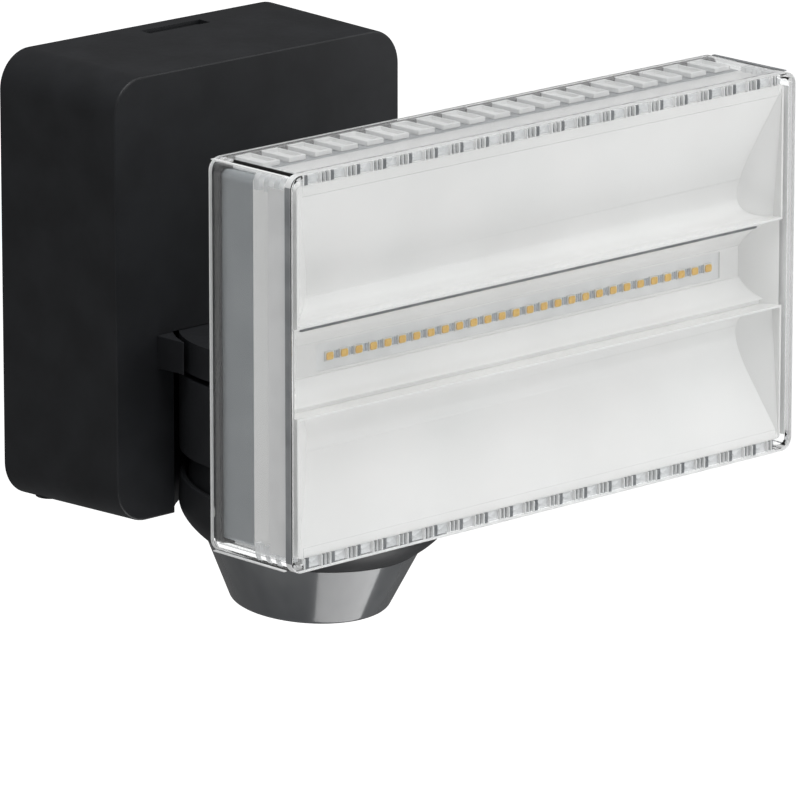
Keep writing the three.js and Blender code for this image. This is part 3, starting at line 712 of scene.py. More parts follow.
def latch_button():
    """The release latch: a wide foot inside the box, and a tab with grip ribs in the slot."""
    low, high = LATCH_LOW, LATCH_HIGH
    tab_span = (low.x + LATCH_TAB_INSET, high.x - LATCH_TAB_INSET)
    tab = block(tab_span, (low.y, high.y), (high.z - 4, high.z), 0.5)
    foot = block((low.x, high.x), (low.y, high.y), (low.z, high.z - 2.3), 0.4)
    middle = centre("release_latch").x
    rib_y = (low.y + 0.6, high.y - 0.6)
    rib_z = (high.z - 1, high.z + 0.001)
    rib_places = [middle + LATCH_RIB_PITCH * k for k in range(-3, 4)]
    ribs = [block((x - 0.4, x + 0.4), rib_y, rib_z, 0.2) for x in rib_places]
    mesh = stacked([tab, foot, *ribs])
    piece("latch_button", mesh, BLACK_MATT, "latch", ("release_latch",))


# ---------------- back of the wall box

PLATE_CORNER = 9
PLATE_RIM = 6
PLATE_DEPTH = 4
PLATE_HOLLOW = 1.4
PLATE_RIB = 0.9
FIXINGS = [(x, z) for z in (-58, 58) for x in (-46, 46)]
FIXING_BOSS_RADIUS = 7.5
FIXING_HOLE_RADIUS = 2.6
CABLE_RING_RADIUS = 16
CABLE_HOLE_RADIUS = 10.9
BOARD_POSTS = [(x, z) for z in (2, 64) for x in (-48, 48)]
POST_RADIUS = 3
POST_END = 24.1
LUG_HALF = 4
LUG_PLACES = (-54, 54)


def wall_plate():
    """The back plate: a hollowed tray with ribs, four fixings, four board posts and two lugs."""
    low, high = extent("back_plate")
    width = high.x - low.x
    height = high.z - low.z
    base = plate_y(rounded_rectangle(width, height, PLATE_CORNER), 0, -PLATE_DEPTH)
    tray = rounded_rectangle(width - 2 * PLATE_RIM, height - 2 * PLATE_RIM, 5)
    hollow = plate_y(tray, 1, -PLATE_HOLLOW)
    bosses = [lying_y(rod(FIXING_BOSS_RADIUS, 0, PLATE_DEPTH, ROUND), (x, 0, z)) for x, z in FIXINGS]
    entry = centre("cable_grommet")
    entry_ring = lying_y(rod(CABLE_RING_RADIUS, 0, PLATE_DEPTH), (entry.x, 0, entry.z))
    depth = (-PLATE_DEPTH, 0)
    ribs = [block(around(x, PLATE_RIB), depth, (low.z + 5, high.z - 5)) for x in (-28, 28)]
    cross_ribs = [block((low.x + 5, high.x - 5), depth, around(z, PLATE_RIB)) for z in (-30, 2)]
    holes = [lying_y(rod(FIXING_HOLE_RADIUS, -1, 6, ROUND), (x, 0, z)) for x, z in FIXINGS]
    cable_hole = lying_y(rod(CABLE_HOLE_RADIUS, -1, 6), (entry.x, 0, entry.z))
    body = join(cut(base, hollow), *bosses, entry_ring, *ribs, *cross_ribs)
    posts = [lying_y(rod(POST_RADIUS, 3.5, POST_END, ROUND), (x, 0, z)) for x, z in BOARD_POSTS]
    lugs = [block(around(x, LUG_HALF), (-14, -3.5), (-72, -66)) for x in LUG_PLACES]
    mesh = cut(join(body, *posts, *lugs), *holes, cable_hole)
    piece("wall_plate", eased_edges(mesh, 0.3), BLACK_MATT, "wall_box", ("back_plate",))


def wall_grommet():
    """The membrane grommet: a collar around the plate's hole, and a stepped cone to be cut to the cable."""
    low, high = extent("cable_grommet")
    middle = centre("cable_grommet")
    depth = high.y - low.y
    steps = [(11.2, 1.6), (9.6, 1.0), (8.4, 1.6), (6.8, 1.0), (5.6, 1.6), (4.0, 1.0), (2.6, 1.5)]
    collar = [(10.6, 0.2), (10.6, 4.3), (14, 4.5), (14, 5.9)]
    outline = [(0, 0.7), *reversed(steps), *collar, (7, depth), (0, depth)]
    mesh = lying_y(turned(eased(outline, 0.5, closed=False)), (middle.x, high.y, middle.z))
    piece("wall_grommet", mesh, RUBBER, "wall_box", ("cable_grommet",))


KNOB_RADIUS = 5.2
KNOB_FLUTES = 24
FLUTE_DEPTH = 0.22
KNOB_FLANGE_RADIUS = 7


def fluted_circle():
    """A circle of points whose every second point is a little further in."""
    count = 2 * KNOB_FLUTES
    outline = []
    for k in range(count):
        radius = KNOB_RADIUS - FLUTE_DEPTH * (k % 2)
        turn = math.tau * k / count
        outline.append((radius * math.cos(turn), radius * math.sin(turn)))
    return outline


def setting_dials():
    """Three small dials under the box, each with a screwdriver slot and a fluted edge."""
    for node, body in DIAL_BODIES.items():
        low, high = extent(node)
        middle = centre(node)
        knob = slab_z(fluted_circle(), low.z, high.z - 1.4)
        flange = rod(KNOB_FLANGE_RADIUS, high.z - 1.6, high.z, ROUND)
        slot = block((-4, 4), (-0.7, 0.7), (low.z - 1, low.z + 1.2))
        pointer = block((3.4, 4.8), (-0.35, 0.35), (low.z - 1, low.z + 0.5))
        mesh = eased_edges(cut(join(knob, flange), slot, pointer), 0.15, 40, 2)
        moved(mesh, (middle.x, middle.y, 0))
        piece(node + "_knob", mesh, IVORY, body, (node,))


# ---------------- screws and pins

THREAD_PITCH = 0.9
THREAD_ROOT = 0.84


def screw(head_radius, head_height, shaft_radius, length):
    """An upright screw with a cross drive, its head at the bottom, at z from 0 up."""
    dome = [(0, 0), (head_radius * 0.55, 0.05), (head_radius * 0.92, head_height * 0.4)]
    rest = [(head_radius, head_height * 0.75), (head_radius, head_height), (shaft_radius, head_height)]
    threads = []
    height = head_height + 0.6
    while height < length - 1.2:
        threads += [(shaft_radius, height), (shaft_radius * THREAD_ROOT, height + THREAD_PITCH / 2)]
        height += THREAD_PITCH
    outline = [*dome, *rest, *threads, (shaft_radius * 0.8, length - 0.6), (0, length)]
    half_width = head_radius * 0.22 / 2
    arm = head_radius * 0.62
    drive = (-1, head_height * 0.55)
    slots = [block(around(0, arm), around(0, half_width), drive)]
    slots.append(block(around(0, half_width), around(0, arm), drive))
    return cut(turned(outline, ROUND), *slots)


def cover_screws():
    for side in ("left", "right"):
        node = "cover_screw_" + side
        low, high = extent(node)
        middle = centre(node)
        mesh = moved(screw(3.5, 1.6, 1.8, high.z - low.z), (middle.x, middle.y, low.z))
        piece(node + "_pan_head", mesh, STEEL, "wall_box", (node,))


def back_screws(prefix, count, body, head_radius, head_height, shaft_radius):
    """Screws whose heads face the wall."""
    for number in range(1, count + 1):
        node = f"{prefix}_{number}"
        low, high = extent(node)
        middle = centre(node)
        mesh = screw(head_radius, head_height, shaft_radius, high.y - low.y)
        piece(node + "_thread", lying_y(mesh, (middle.x, high.y, middle.z)), STEEL, body, (node,))


# ---------------- column and arm

HUB_RADIUS = HUB_HIGH.x
HUB_TOP = -13.4
EYE_RADIUS = 7.2
NECK_HALF = 14
PIN_HOLE_RADIUS = 3.4
SPIGOT_RADIUS = 9
SPIGOT_BORE = 6
DRUM_BORE = 12.6
DRUM_WALL = 2.5
DRUM_ROOF = 3
HUB_GAP = 0.4


def sensor_column():
    """The fixed drum under the hub, its spigot through the hub, and the tongue that holds it to the box."""
    radius = SWIVEL.y - COLUMN_LOW.y
    top = HUB_LOW.z - HUB_GAP
    low = COLUMN_LOW.z
    outside = [(DRUM_BORE, low), (radius, low), (radius, top), (SPIGOT_RADIUS, top)]
    spigot = [(SPIGOT_RADIUS, COLUMN_HIGH.z), (SPIGOT_BORE, COLUMN_HIGH.z), (SPIGOT_BORE, top - DRUM_ROOF)]
    floor = low + 2.5
    inside = [(radius - DRUM_WALL, top - DRUM_ROOF), (radius - DRUM_WALL, floor), (DRUM_BORE, floor)]
    drum = eased([*outside, *spigot, *inside], 0.6, steps=3)
    mesh = moved(turned(drum, BROAD), (0, SWIVEL.y, 0))
    tongue = block((-18, 18), (-45, -4.3), (-50, -30))
    flange = block((-31, 31), (-7.3, -4.3), (-51, -29))
    duct = block((-6, 6), (-60, -9), (-46, -34))
    body = cut(join(mesh, tongue, flange), duct)
    piece("sensor_column_drum", body, BLACK, "wall_box", ("sensor_column",))


def swivel_arm():
    """The hub's disc, the neck that leaves it, and the eye for the tilt pin."""
    hub_low = TILT.z - 5.6
    disc = upright(HUB_RADIUS, hub_low, HUB_TOP, SWIVEL, BROAD)
    neck_side = curve_points((31, -112), (20, -122), (NECK_HALF, -128), (NECK_HALF, -142), 10)
    other_side = [(-x, y) for x, y in reversed(neck_side)]
    neck = slab_z([*neck_side, (NECK_HALF, TILT.y), (-NECK_HALF, TILT.y), *other_side], hub_low, HUB_TOP)
    eye = lying_x(rod(EYE_RADIUS, -NECK_HALF, NECK_HALF), TILT)
    hole = upright(9.3, -30, -10, SWIVEL)
    pocket = upright(16.2, -18.4, -10, SWIVEL, FINE)
    pin_hole = lying_x(rod(PIN_HOLE_RADIUS, -20, 20, ROUND), TILT)
    mesh = cut(join(disc, neck, eye), hole, pocket, pin_hole)
    piece("swivel_arm_hub", eased_edges(mesh, 0.5), BLACK, "arm", ("swivel_arm",))


def arm_cap():
    low, high = extent("arm_cap")
    radius = (high.x - low.x) / 2
    outline = [(0, low.z), (radius, low.z), (radius, high.z - 0.1), (radius - 4, high.z), (0, high.z)]
    mesh = moved(turned(eased(outline, 0.4, closed=False)), (0, SWIVEL.y, 0))
    piece("arm_cap_disc", mesh, BLACK_MATT, "arm", ("arm_cap",))


# ---------------- lamp head: the clear cover
# Head pieces are drawn from the middle of the back rim: y runs from 0 to minus the depth.

HALF_WIDTH = HEAD_WIDTH / 2
HALF_HEIGHT = HEAD_HEIGHT / 2
CLEAR_WALL = 2.2
CLEAR_FRONT = 3
HEAD_CORNER = 4.5
HOUSING_INSET = 4
HOUSING_DEPTH = 17.9
MIRROR_INSET = 4.2
# How far a piece set into another one stays off its faces.
GAP = 0.1

# The rows of blocks and prisms along the cover's top and bottom.
ROW_COUNT = 19
ROW_PITCH = 11.4
ROW_HALF = 108.6
TOOTH_HALF = 3.7
TOOTH_Y = (-16.6, -2.6)
POCKET_HALF = 2.7
POCKET_Y = (-15.6, -4.2)
GROOVE_FOOT_Z = 58
CELL_FOOT_Z = 61.6
CELL_TOP_Z = HALF_HEIGHT - 0.45
CELL_FRONT = -36.65
CELL_BACK = -35.0
CELL_LEFT = 5.1
CELL_RIGHT = 1.9
CELL_RIM = 0.35
CELL_TIP_X = 2.4
CELL_TIP_SHARE = 0.45
# The webs and the grey bars of painted shade of one prism: offset from its middle, half width and front
# face.
CELL_WEBS = [(-5.4, 0.22, CELL_FRONT + 0.08), (2.2, 0.22, CELL_FRONT + 0.08), (4.1, 0.14, CELL_FRONT + 0.3)]
CELL_SHADE_BARS = [(3.2, 0.7, CELL_BACK - 0.4), (4.75, 0.45, CELL_BACK - 0.8), (-4.2, 0.75, CELL_FRONT + 0.35)]

# The frosted strips set into the cover's walls, and grey strips of painted shade there.
SIDE_STRIP_Y = (-36.3, -27.4)
SIDE_STRIP_HALF = 60.5
TOP_STRIP_WIDTH = 1.3
TOP_STRIP_THICKNESS = 0.3
TOP_STRIP_Y = (-35, -1)

CORNER_RIB_BACKS = (-20.5, -25.3, -30.1)
CORNER_RIB_WIDTH = 2.4
CORNER_RIB_FROM_X = 107.5
CORNER_RIB_FROM_Z = 58.5
SEAL_BACK = -1.0
SEAL_FRONT = -3.6


def head_piece(name, mesh, material, stands_for=(), smooth=35):
    return piece(name, mesh, material, "lamp", stands_for, HEAD_PLACE, smooth)


def head_plate(inset, back, front, corner):
    outline = rounded_rectangle(HEAD_WIDTH - 2 * inset, HEAD_HEIGHT - 2 * inset, corner)
    return plate_y(outline, back, front)


def frame_ring(outer_inset, inner_inset, back, front):
    """A flat rectangular ring that runs along the cover's four walls."""
    ring = head_plate(outer_inset, back, front, HEAD_CORNER - outer_inset)
    return cut(ring, head_plate(inner_inset, back + 1, front - 1, max(HEAD_CORNER - inner_inset, 1)))


def row_places():
    return [(k - (ROW_COUNT - 1) / 2) * ROW_PITCH for k in range(ROW_COUNT)]


def clear_cover():
    """The clear shell, with a groove behind its front edges for the prisms."""
    outside = eased_edges(head_plate(0, 0, -HEAD_DEPTH, HEAD_CORNER), 0.6)
    inside = head_plate(CLEAR_WALL, 1, -HEAD_DEPTH + CLEAR_FRONT, HEAD_CORNER - 2)
    grooves = [
        block(around(0, ROW_HALF), (CELL_FRONT, CELL_BACK), span(side, GROOVE_FOOT_Z, CELL_TOP_Z))
        for side in (1, -1)
    ]
    mesh = cut(outside, inside, *grooves)
    head_piece("clear_cover_shell", mesh, CLEAR, stands_for=("clear_cover",))


def cover_rim():
    """The frosted lip moulded around the open back of the cover."""
    head_piece("cover_rim_lip", frame_ring(0.2, CLEAR_WALL - GAP, -0.12, -0.75), FROST)


def cover_edges():
    """The ground edges of the front pane, just under its top, bottom and side faces; at the left a grey
    strip of painted shade.
    """
    whole = frame_ring(0.15, 0.4, -HEAD_DEPTH + CLEAR_FRONT + GAP, -HEAD_DEPTH + 0.65)
    left_part = block((-FAR, -HALF_WIDTH + 0.5), (-FAR, 0), (-62, 62))
    left = common(whole.copy(), left_part.copy())
    head_piece("cover_edge_left", left, EDGE_PAINTED_SHADE)
    head_piece("cover_edges_rest", cut(whole, left_part), FROST)


def cover_side_strips():
    """The frosted strip moulded inside each side wall, just behind the front pane."""
    wall_x = HALF_WIDTH - CLEAR_WALL
    z_span = around(0, SIDE_STRIP_HALF)
    strips = [block(span(side, wall_x - GAP, wall_x + 0.15), SIDE_STRIP_Y, z_span) for side in (-1, 1)]
    head_piece("cover_side_strips", stacked(strips), FROST)


def cover_wall_strips():
    """A strip along the top and bottom of each side wall: frosted at the left, a grey strip of painted
    shade at the right.
    """
    wall_x = HALF_WIDTH - 0.4
    top = HALF_HEIGHT - 0.35
    for name, x_side, material in (("left", -1, FROST), ("right", 1, EDGE_PAINTED_SHADE)):
        x_span = span(x_side, wall_x, wall_x - TOP_STRIP_WIDTH)
        z_spans = [span(side, top, top - TOP_STRIP_THICKNESS) for side in (-1, 1)]
        strips = [block(x_span, TOP_STRIP_Y, z_span) for z_span in z_spans]
        head_piece(f"cover_wall_strips_{name}", stacked(strips), material)


def tooth(x, side):
    """One hollowed block of the row inside the cover's top or bottom wall."""
    wall_z = HALF_HEIGHT - CLEAR_WALL - 0.05
    foot_z = HALF_HEIGHT - HOUSING_INSET + GAP
    whole = block(around(x, TOOTH_HALF), TOOTH_Y, span(side, foot_z, wall_z), 0.25)
    return cut(whole, block(around(x, POCKET_HALF), POCKET_Y, span(side, foot_z + 0.5, wall_z + 1)))


def cover_teeth():
    blocks = [tooth(x, side) for side in (1, -1) for x in row_places()]
    head_piece("cover_teeth", stacked(blocks), FROST)


def faceted_cell(x, side):
    """One four-sided prism of the front row, with its tip off centre."""
    top_z = side * (CELL_TOP_Z - GAP)
    foot_z = side * CELL_FOOT_Z
    left = x - CELL_LEFT
    right = x + CELL_RIGHT
    back = CELL_BACK - GAP
    mesh = bmesh.new()
    corners = [(left, foot_z), (right, foot_z), (right, top_z), (left, top_z)]
    base = [mesh.verts.new((cx, back, cz)) for cx, cz in corners]
    rim = [mesh.verts.new((cx, back - CELL_RIM, cz)) for cx, cz in corners]
    tip_z = foot_z + CELL_TIP_SHARE * (top_z - foot_z)
    tip = mesh.verts.new((left + CELL_TIP_X, CELL_FRONT + GAP, tip_z))
    mesh.faces.new(base)
    for i in range(4):
        mesh.faces.new((base[i - 1], base[i], rim[i], rim[i - 1]))
        mesh.faces.new((rim[i - 1], rim[i], tip))
    bmesh.ops.recalc_face_normals(mesh, faces=mesh.faces)
    return mesh


def upright_bar(x, half_width, front, side):
    z_span = span(side, CELL_FOOT_Z, CELL_TOP_Z - GAP)
    return block(around(x, half_width), (front, CELL_BACK - GAP), z_span)


def front_cells():
    """The prisms, thin webs and grey bars of painted shade behind the top and bottom edge of the front
    pane.
    """
    cells = []
    webs = []
    shade_bars = []
    for side in (1, -1):
        for x in row_places():
            cells.append(faceted_cell(x, side))
            webs += [upright_bar(x + offset, half, front, side) for offset, half, front in CELL_WEBS]
            shade_bars += [upright_bar(x + offset, half, front, side) for offset, half, front in CELL_SHADE_BARS]
    head_piece("cover_front_cells", stacked(cells), PRISM, smooth=5)
    head_piece("cover_front_webs", stacked(webs), FROST)
    head_piece("cover_front_painted_shade", stacked(shade_bars), DARK_PAINTED_SHADE)


def corner_ribs():
    """Three ribs around each corner of the cover, between its wall and the mirror."""
    ribs = []
    for back in CORNER_RIB_BACKS:
        ring = frame_ring(CLEAR_WALL + 0.05, MIRROR_INSET - GAP, back, back - CORNER_RIB_WIDTH)
        corners = [
            block(span(x_side, CORNER_RIB_FROM_X, FAR), (-FAR, 0), span(z_side, CORNER_RIB_FROM_Z, FAR))
            for x_side in (-1, 1)
            for z_side in (-1, 1)
        ]
        ribs.append(common(ring, stacked(corners)))
    head_piece("cover_corner_ribs", stacked(ribs), PRISM)


# ---------------- lamp head: seal and rear housing


def head_gasket():
    """The dark seal in the gap between the cover's lip and the housing."""
    seal = frame_ring(CLEAR_WALL + GAP, HOUSING_INSET - 0.15, SEAL_BACK, SEAL_FRONT)
    head_piece("head_seal", eased_edges(seal, 0.2), RUBBER, ("head_gasket",))


def head_housing():
    outside = head_plate(HOUSING_INSET, -2, -HOUSING_DEPTH, 3)
    inside = head_plate(HOUSING_INSET + 2.2, -4.2, -HOUSING_DEPTH - 1, 2)
    ribs = [block((-100, 100), (-2.5, -0.9), (z - 0.8, z + 0.8)) for z in (42, 34, -52)]
    mesh = eased_edges(join(cut(outside, inside), *ribs), 0.4)
    head_piece("head_rear_housing", mesh, GREY, ("head_housing",))


# ---------------- lamp head: mirror and LEDs

MIRROR_FRONT = 36.1
MIRROR_BACK = 18
MIRROR_FLOOR = 20.4
MIRROR_RIM_X = HALF_WIDTH - MIRROR_INSET - 0.8
MIRROR_RIM_Z = HALF_HEIGHT - MIRROR_INSET - 0.8
RIDGE_Z = 15.6
RIDGE_Y = -32
LIP_Z = 14.9
SLOT_Z = 5.6
BOARD_FRONT = -24.6
BOARD_BACK = -23.5
BOARD_HALF_HEIGHT = 5.2
SLOT_FLOOR_Y = BOARD_FRONT - 0.3
SEAT_HALF = (93.6, 5.3)
OPENING_HALF = (92.2, 4.5)
SHADOW_STRIP_HALF = 104
LED_COUNT = 28
LED_FRONT = -25.5
PACKAGE_FRONT = -25.15
PACKAGE_HALF = (1.9, 1.55)
PAD_HALF = (0.45, 1.3)
PAD_SHIFT = 0.62
PAD_FRONT = -24.78


def panel_curve():
    """The upper panel: a long even slope from the rim, then a quick rise to the ridge beside the LEDs."""
    return curve_points((-MIRROR_FRONT, MIRROR_RIM_Z), (-29.5, 36), (-21, 17), (RIDGE_Y, RIDGE_Z), 36)


def channel_curve():
    """From under the ridge's lip down the channel's wall to the LEDs."""
    groove = [
        (RIDGE_Y, LIP_Z), (RIDGE_Y + 2, LIP_Z - 0.2), (RIDGE_Y + 2, LIP_Z - 1.5), (RIDGE_Y + 1, LIP_Z - 1.8)
    ]
    wall = curve_points(
        (RIDGE_Y + 1.2, LIP_Z - 2.1), (-28.6, LIP_Z - 3.4), (-26.4, SLOT_Z + 3), (-25.2, SLOT_Z), 10
    )
    return [*groove, *wall, (SLOT_FLOOR_Y, SLOT_Z - 0.2)]


def upside_down(section):
    """A section in (y, z), mirrored to the lower half."""
    return [(y, -z) for y, z in reversed(section)]


def profile_hollow(section):
    """The room in front of a stretch of the section."""
    front = -MIRROR_FRONT - PAST
    outline = [(front, section[0][1]), *section, (front, section[-1][1])]
    return beam_x(outline, -FAR, FAR)


def half_space(point_a, point_b, point_c, inner):
    """A large block on the side of the plane through three points that holds the point `inner`."""
    a, b, c = Vector(point_a), Vector(point_b), Vector(point_c)
    normal = (b - a).cross(c - a).normalized()
    if normal.dot(Vector(inner) - a) < 0:
        normal = -normal
    cube = block(around(0, HUGE), around(0, HUGE), (0, HUGE))
    cube.transform(Matrix.Translation(a) @ normal.to_track_quat("Z", "Y").to_matrix().to_4x4())
    return cube


def end_planes(x_side, z_side):
    """The two planes that close a panel's end: a steep wall at the rim, and a facet at the ridge."""
    inner = (0, -60, z_side * 40)
    wall = half_space(
        (x_side * MIRROR_RIM_X, -MIRROR_FRONT, 0),
        (x_side * MIRROR_RIM_X, -MIRROR_FRONT, 40),
        (x_side * (MIRROR_RIM_X - 1.8), -26, 0),
        inner,
    )
    facet = half_space(
        (x_side * MIRROR_RIM_X, -MIRROR_FRONT, z_side * MIRROR_RIM_Z),
        (x_side * (MIRROR_RIM_X + 0.3), -33.4, z_side * (RIDGE_Z - 0.8)),
        (x_side * 96.7, -25.4, z_side * (RIDGE_Z + 2.6)),
        inner,
    )
    return wall, facet


def panel_hollow(z_side):
    section = panel_curve() if z_side > 0 else upside_down(panel_curve())
    walls = [plane for x_side in (-1, 1) for plane in end_planes(x_side, z_side)]
    return common(profile_hollow(section), *walls)


def channel_hollow():
    upper = channel_curve()
    slopes = []
    for side in (-1, 1):
        rim = side * 110.5
        foot = side * 101
        slopes.append(half_space((rim, -34.4, 0), (rim, -34.4, 9), (foot, SLOT_FLOOR_Y, 0), (0, -60, 0)))
    return common(profile_hollow([*upper, *upside_down(upper)]), *slopes)


def reflector():
    body = head_plate(MIRROR_INSET, -MIRROR_BACK, -MIRROR_FRONT, 1.5)
    behind = head_plate(MIRROR_INSET + 12, 0, -MIRROR_FLOOR, 3)
    seat_x, seat_z = SEAT_HALF
    board_seat = block(around(0, seat_x), (BOARD_FRONT - 0.02, -10), around(0, seat_z))
    open_x, open_z = OPENING_HALF
    opening = block(around(0, open_x), (-30, -10), around(0, open_z))
    mesh = cut(body, behind, board_seat, opening, panel_hollow(1), panel_hollow(-1), channel_hollow())
    head_piece("mirror_panels", eased_edges(mesh, 0.3, 32, 2), WHITE, ("reflector",), 25)


def ridge_shadow_strip():
    """A grey strip of painted shade on the channel's wall, just under the upper ridge."""
    x_span = around(0, SHADOW_STRIP_HALF)
    strip = block(x_span, (RIDGE_Y + 1.3, RIDGE_Y + 3), (LIP_Z - 3, LIP_Z - 1.9))
    head_piece("ridge_shadow_strip", strip, DARK_PAINTED_SHADE)


def led_positions():
    low, high = extent("led_row")
    pitch = (high.x - low.x) / LED_COUNT
    return [(k - (LED_COUNT - 1) / 2) * pitch for k in range(LED_COUNT)], pitch


def led_strip():
    """The white board, and on it the LED packages, their yellow domes and the pads between them."""
    low, high = extent("led_board")
    half = (high.x - low.x) / 2
    board = block(around(0, half), (BOARD_FRONT, BOARD_BACK), around(0, BOARD_HALF_HEIGHT), 0.12)
    head_piece("led_strip_board", board, BOARD_WHITE, ("led_board",))
    places, pitch = led_positions()
    package_x, package_z = PACKAGE_HALF
    y_span = (PACKAGE_FRONT, BOARD_FRONT)
    packages = [block(around(x, package_x), y_span, around(0, package_z), 0.15) for x in places]
    head_piece("led_packages", stacked(packages), IVORY)
    domes = []
    for x in places:
        dome = plate_y(rounded_rectangle(3.0, 2.5, 0.7, 4), PACKAGE_FRONT + 0.05, LED_FRONT)
        domes.append(moved(eased_edges(dome, 0.15), (x, 0, 0)))
    head_piece("led_domes", stacked(domes), PHOSPHOR, ("led_row",))
    pad_x, pad_z = PAD_HALF
    pads = []
    for x in places[:-1]:
        for shift in around(0, PAD_SHIFT):
            middle = x + pitch / 2 + shift
            pads.append(block(around(middle, pad_x), (PAD_FRONT, BOARD_FRONT), around(0, pad_z), 0.05))
    head_piece("led_pads", stacked(pads), TIN)


# ---------------- tilt bracket

BOLT_RADIUS = 3
HEXAGON_RADIUS = 5.5
EAR_X = (14.9, 18.4)


def tilt_bracket():
    """The steel plate on the head's back, with an ear on each side of the arm's eye."""
    low, high = extent("head_bracket")
    back = HEAD_HIGH.y
    plate = block((low.x, high.x), (back - 1.7, back + 0.5), (low.z, high.z), 0.4)
    ears = []
    for side in (-1, 1):
        profile = arc((TILT.y, TILT.z), EYE_RADIUS, -90, 90, 20)
        foot = [(back - 1, TILT.z + EYE_RADIUS), (back - 1, TILT.z - EYE_RADIUS)]
        ears.append(beam_x([*profile, *foot], *span(side, *EAR_X)))
    pin_hole = lying_x(rod(PIN_HOLE_RADIUS, -25, 25, ROUND), TILT)
    window = block((-7, 7), (back - 5, back + 3), (low.z + 26, low.z + 32))
    mesh = eased_edges(cut(join(plate, *ears), pin_hole, window), 0.35)
    piece("tilt_bracket", mesh, STEEL, "lamp", ("head_bracket",))


def tilt_pin_and_nut():
    axis = (0, TILT.y, TILT.z)
    low, high = extent("tilt_pin")
    hexagon = arc((0, 0), HEXAGON_RADIUS, 0, 300, 5)
    shaft = [(0, low.x + 1), (BOLT_RADIUS, low.x + 1), (BOLT_RADIUS, high.x), (0, high.x)]
    head = eased_edges(slab_z(hexagon, low.x, low.x + 2.8), 0.3)
    bolt = join(turned(eased(shaft, 0.5, closed=False), ROUND), head)
    piece("tilt_bolt", lying_x(bolt, axis), STEEL, "lamp", ("tilt_pin",))
    low, high = extent("tilt_nut")
    bore = rod(BOLT_RADIUS + 0.3, low.x - 1, high.x + 1, ROUND)
    nut = cut(eased_edges(slab_z(hexagon, low.x, high.x), 0.35), bore)
    piece("tilt_bolt_nut", lying_x(nut, axis), STEEL, "lamp", ("tilt_nut",))


# ---------------- sensor head

BALL_RADIUS = 44
BALL_WALL = 2.2
BALL_COLLAR = 42.2
STEM_RADIUS = 12.3
STEM_BORE = 8
SENSOR_PIN_BORE = 2.3
CUP_RADIUS = 46.7
CUP_INNER = 44.5
CUP_RIM = 4
LENS_TOP = -17.7
LENS_TOP_RADIUS = 37.2
LENS_LOW = -40.6
LENS_LOW_RADIUS = 27.4
LENS_WALL = 1.8
LENS_COLLAR = 3


def sphere_arc(radius, z_from, z_to, steps):
    heights = [z_from + (z_to - z_from) * k / steps for k in range(steps + 1)]
    return [(math.sqrt(radius * radius - z * z), z) for z in heights]


def pin_bores():
    """The bore of the two pins that the cup rocks on."""
    return lying_x(rod(SENSOR_PIN_BORE, -60, 60, THIN))


def sensor_ball():
    """The hollow ball that turns under the column, with its stem up into the drum."""
    low, high = extent("sensor_ball")
    top = COLUMN_LOW.z - 0.8 - SENSOR.z
    bottom = low.z - SENSOR.z
    stem_top = high.z - SENSOR.z
    outer = sphere_arc(BALL_RADIUS, bottom, top - 0.5, 14)
    inner = sphere_arc(BALL_RADIUS - BALL_WALL, top - BALL_WALL, bottom, 8)
    stem = [(STEM_RADIUS, top), (STEM_RADIUS, stem_top), (STEM_BORE, stem_top)]
    outline = [*outer, (BALL_COLLAR, top), *stem, (STEM_BORE, top - BALL_WALL), *inner]
    mesh = cut(turned(outline, BROAD), pin_bores())
    place = Matrix.Translation(SENSOR)
    piece("sensor_ball_shell", mesh, BLACK, "sensor_base", ("sensor_ball",), place)


def sensor_cup():
    """The cup around the ball, drawn in to the lens at its foot."""
    mouth = LENS_TOP_RADIUS - 1.2
    foot = (LENS_TOP_RADIUS + 0.3, LENS_TOP)
    fillet = curve_points((CUP_RADIUS, -5.8), (CUP_RADIUS, -9.8), (CUP_RADIUS - 4.4, -14.2), foot, 16)
    rim = [(44.6, CUP_RIM - 0.5), (45.2, CUP_RIM), (CUP_RADIUS - 0.5, CUP_RIM), (CUP_RADIUS, CUP_RIM - 0.5)]
    inner = [(mouth, LENS_TOP), (mouth, LENS_TOP + 2.4), *sphere_arc(CUP_INNER, -11.2, CUP_RIM - 1, 12)]
    mesh = cut(turned([*rim, *fillet, *inner], BROAD), pin_bores())
    piece("sensor_cup_bowl", mesh, BLACK, "sensor_head", ("sensor_cup",), SENSOR_PLACE)


def sensor_lens():
    """The smoked lens: a hollow cone with a flat foot and a collar that holds it in the cup."""
    top = LENS_TOP - 0.3
    low = LENS_LOW
    foot = LENS_LOW_RADIUS
    neck = LENS_TOP_RADIUS - 1.5
    turn_under = curve_points(
        (foot + 0.5, low + 1.7), (foot + 0.1, low + 0.6), (foot - 0.8, low + 0.1), (foot - 3, low), 8
    )
    cone = [(foot - LENS_WALL - 1.2, low + LENS_WALL), (neck - LENS_WALL, top)]
    collar = [(neck - LENS_WALL, top + LENS_COLLAR), (neck, top + LENS_COLLAR), (neck, top)]
    inner = [(LENS_TOP_RADIUS, top), *reversed(collar), *reversed(cone), (0, low + LENS_WALL)]
    mesh = turned([(0, low), *reversed(turn_under), *inner], BROAD)
    name = "sensor_lens_dome"
    piece(name, mesh, SMOKE, "sensor_head", ("sensor_lens",), SENSOR_PLACE, 30)


# ---------------- light, floor and camera


FLOOR_WIDTH = 30000
FLOOR_CORNER = 3000
FLOOR_LOW = -1620
FLOOR_TOP = -1600
FLOOR_GLOW = 0.8
BACKDROP = 1.05
# The even light on rough faces, from below and from above.
FILL_BELOW = 0.53
FILL_ABOVE = 0.34
# What shiny faces mirror where no soft light is, in the open and inside the clear plastic.
GLOSS_FILL = 0.12
INSIDE_FILL = 0.5


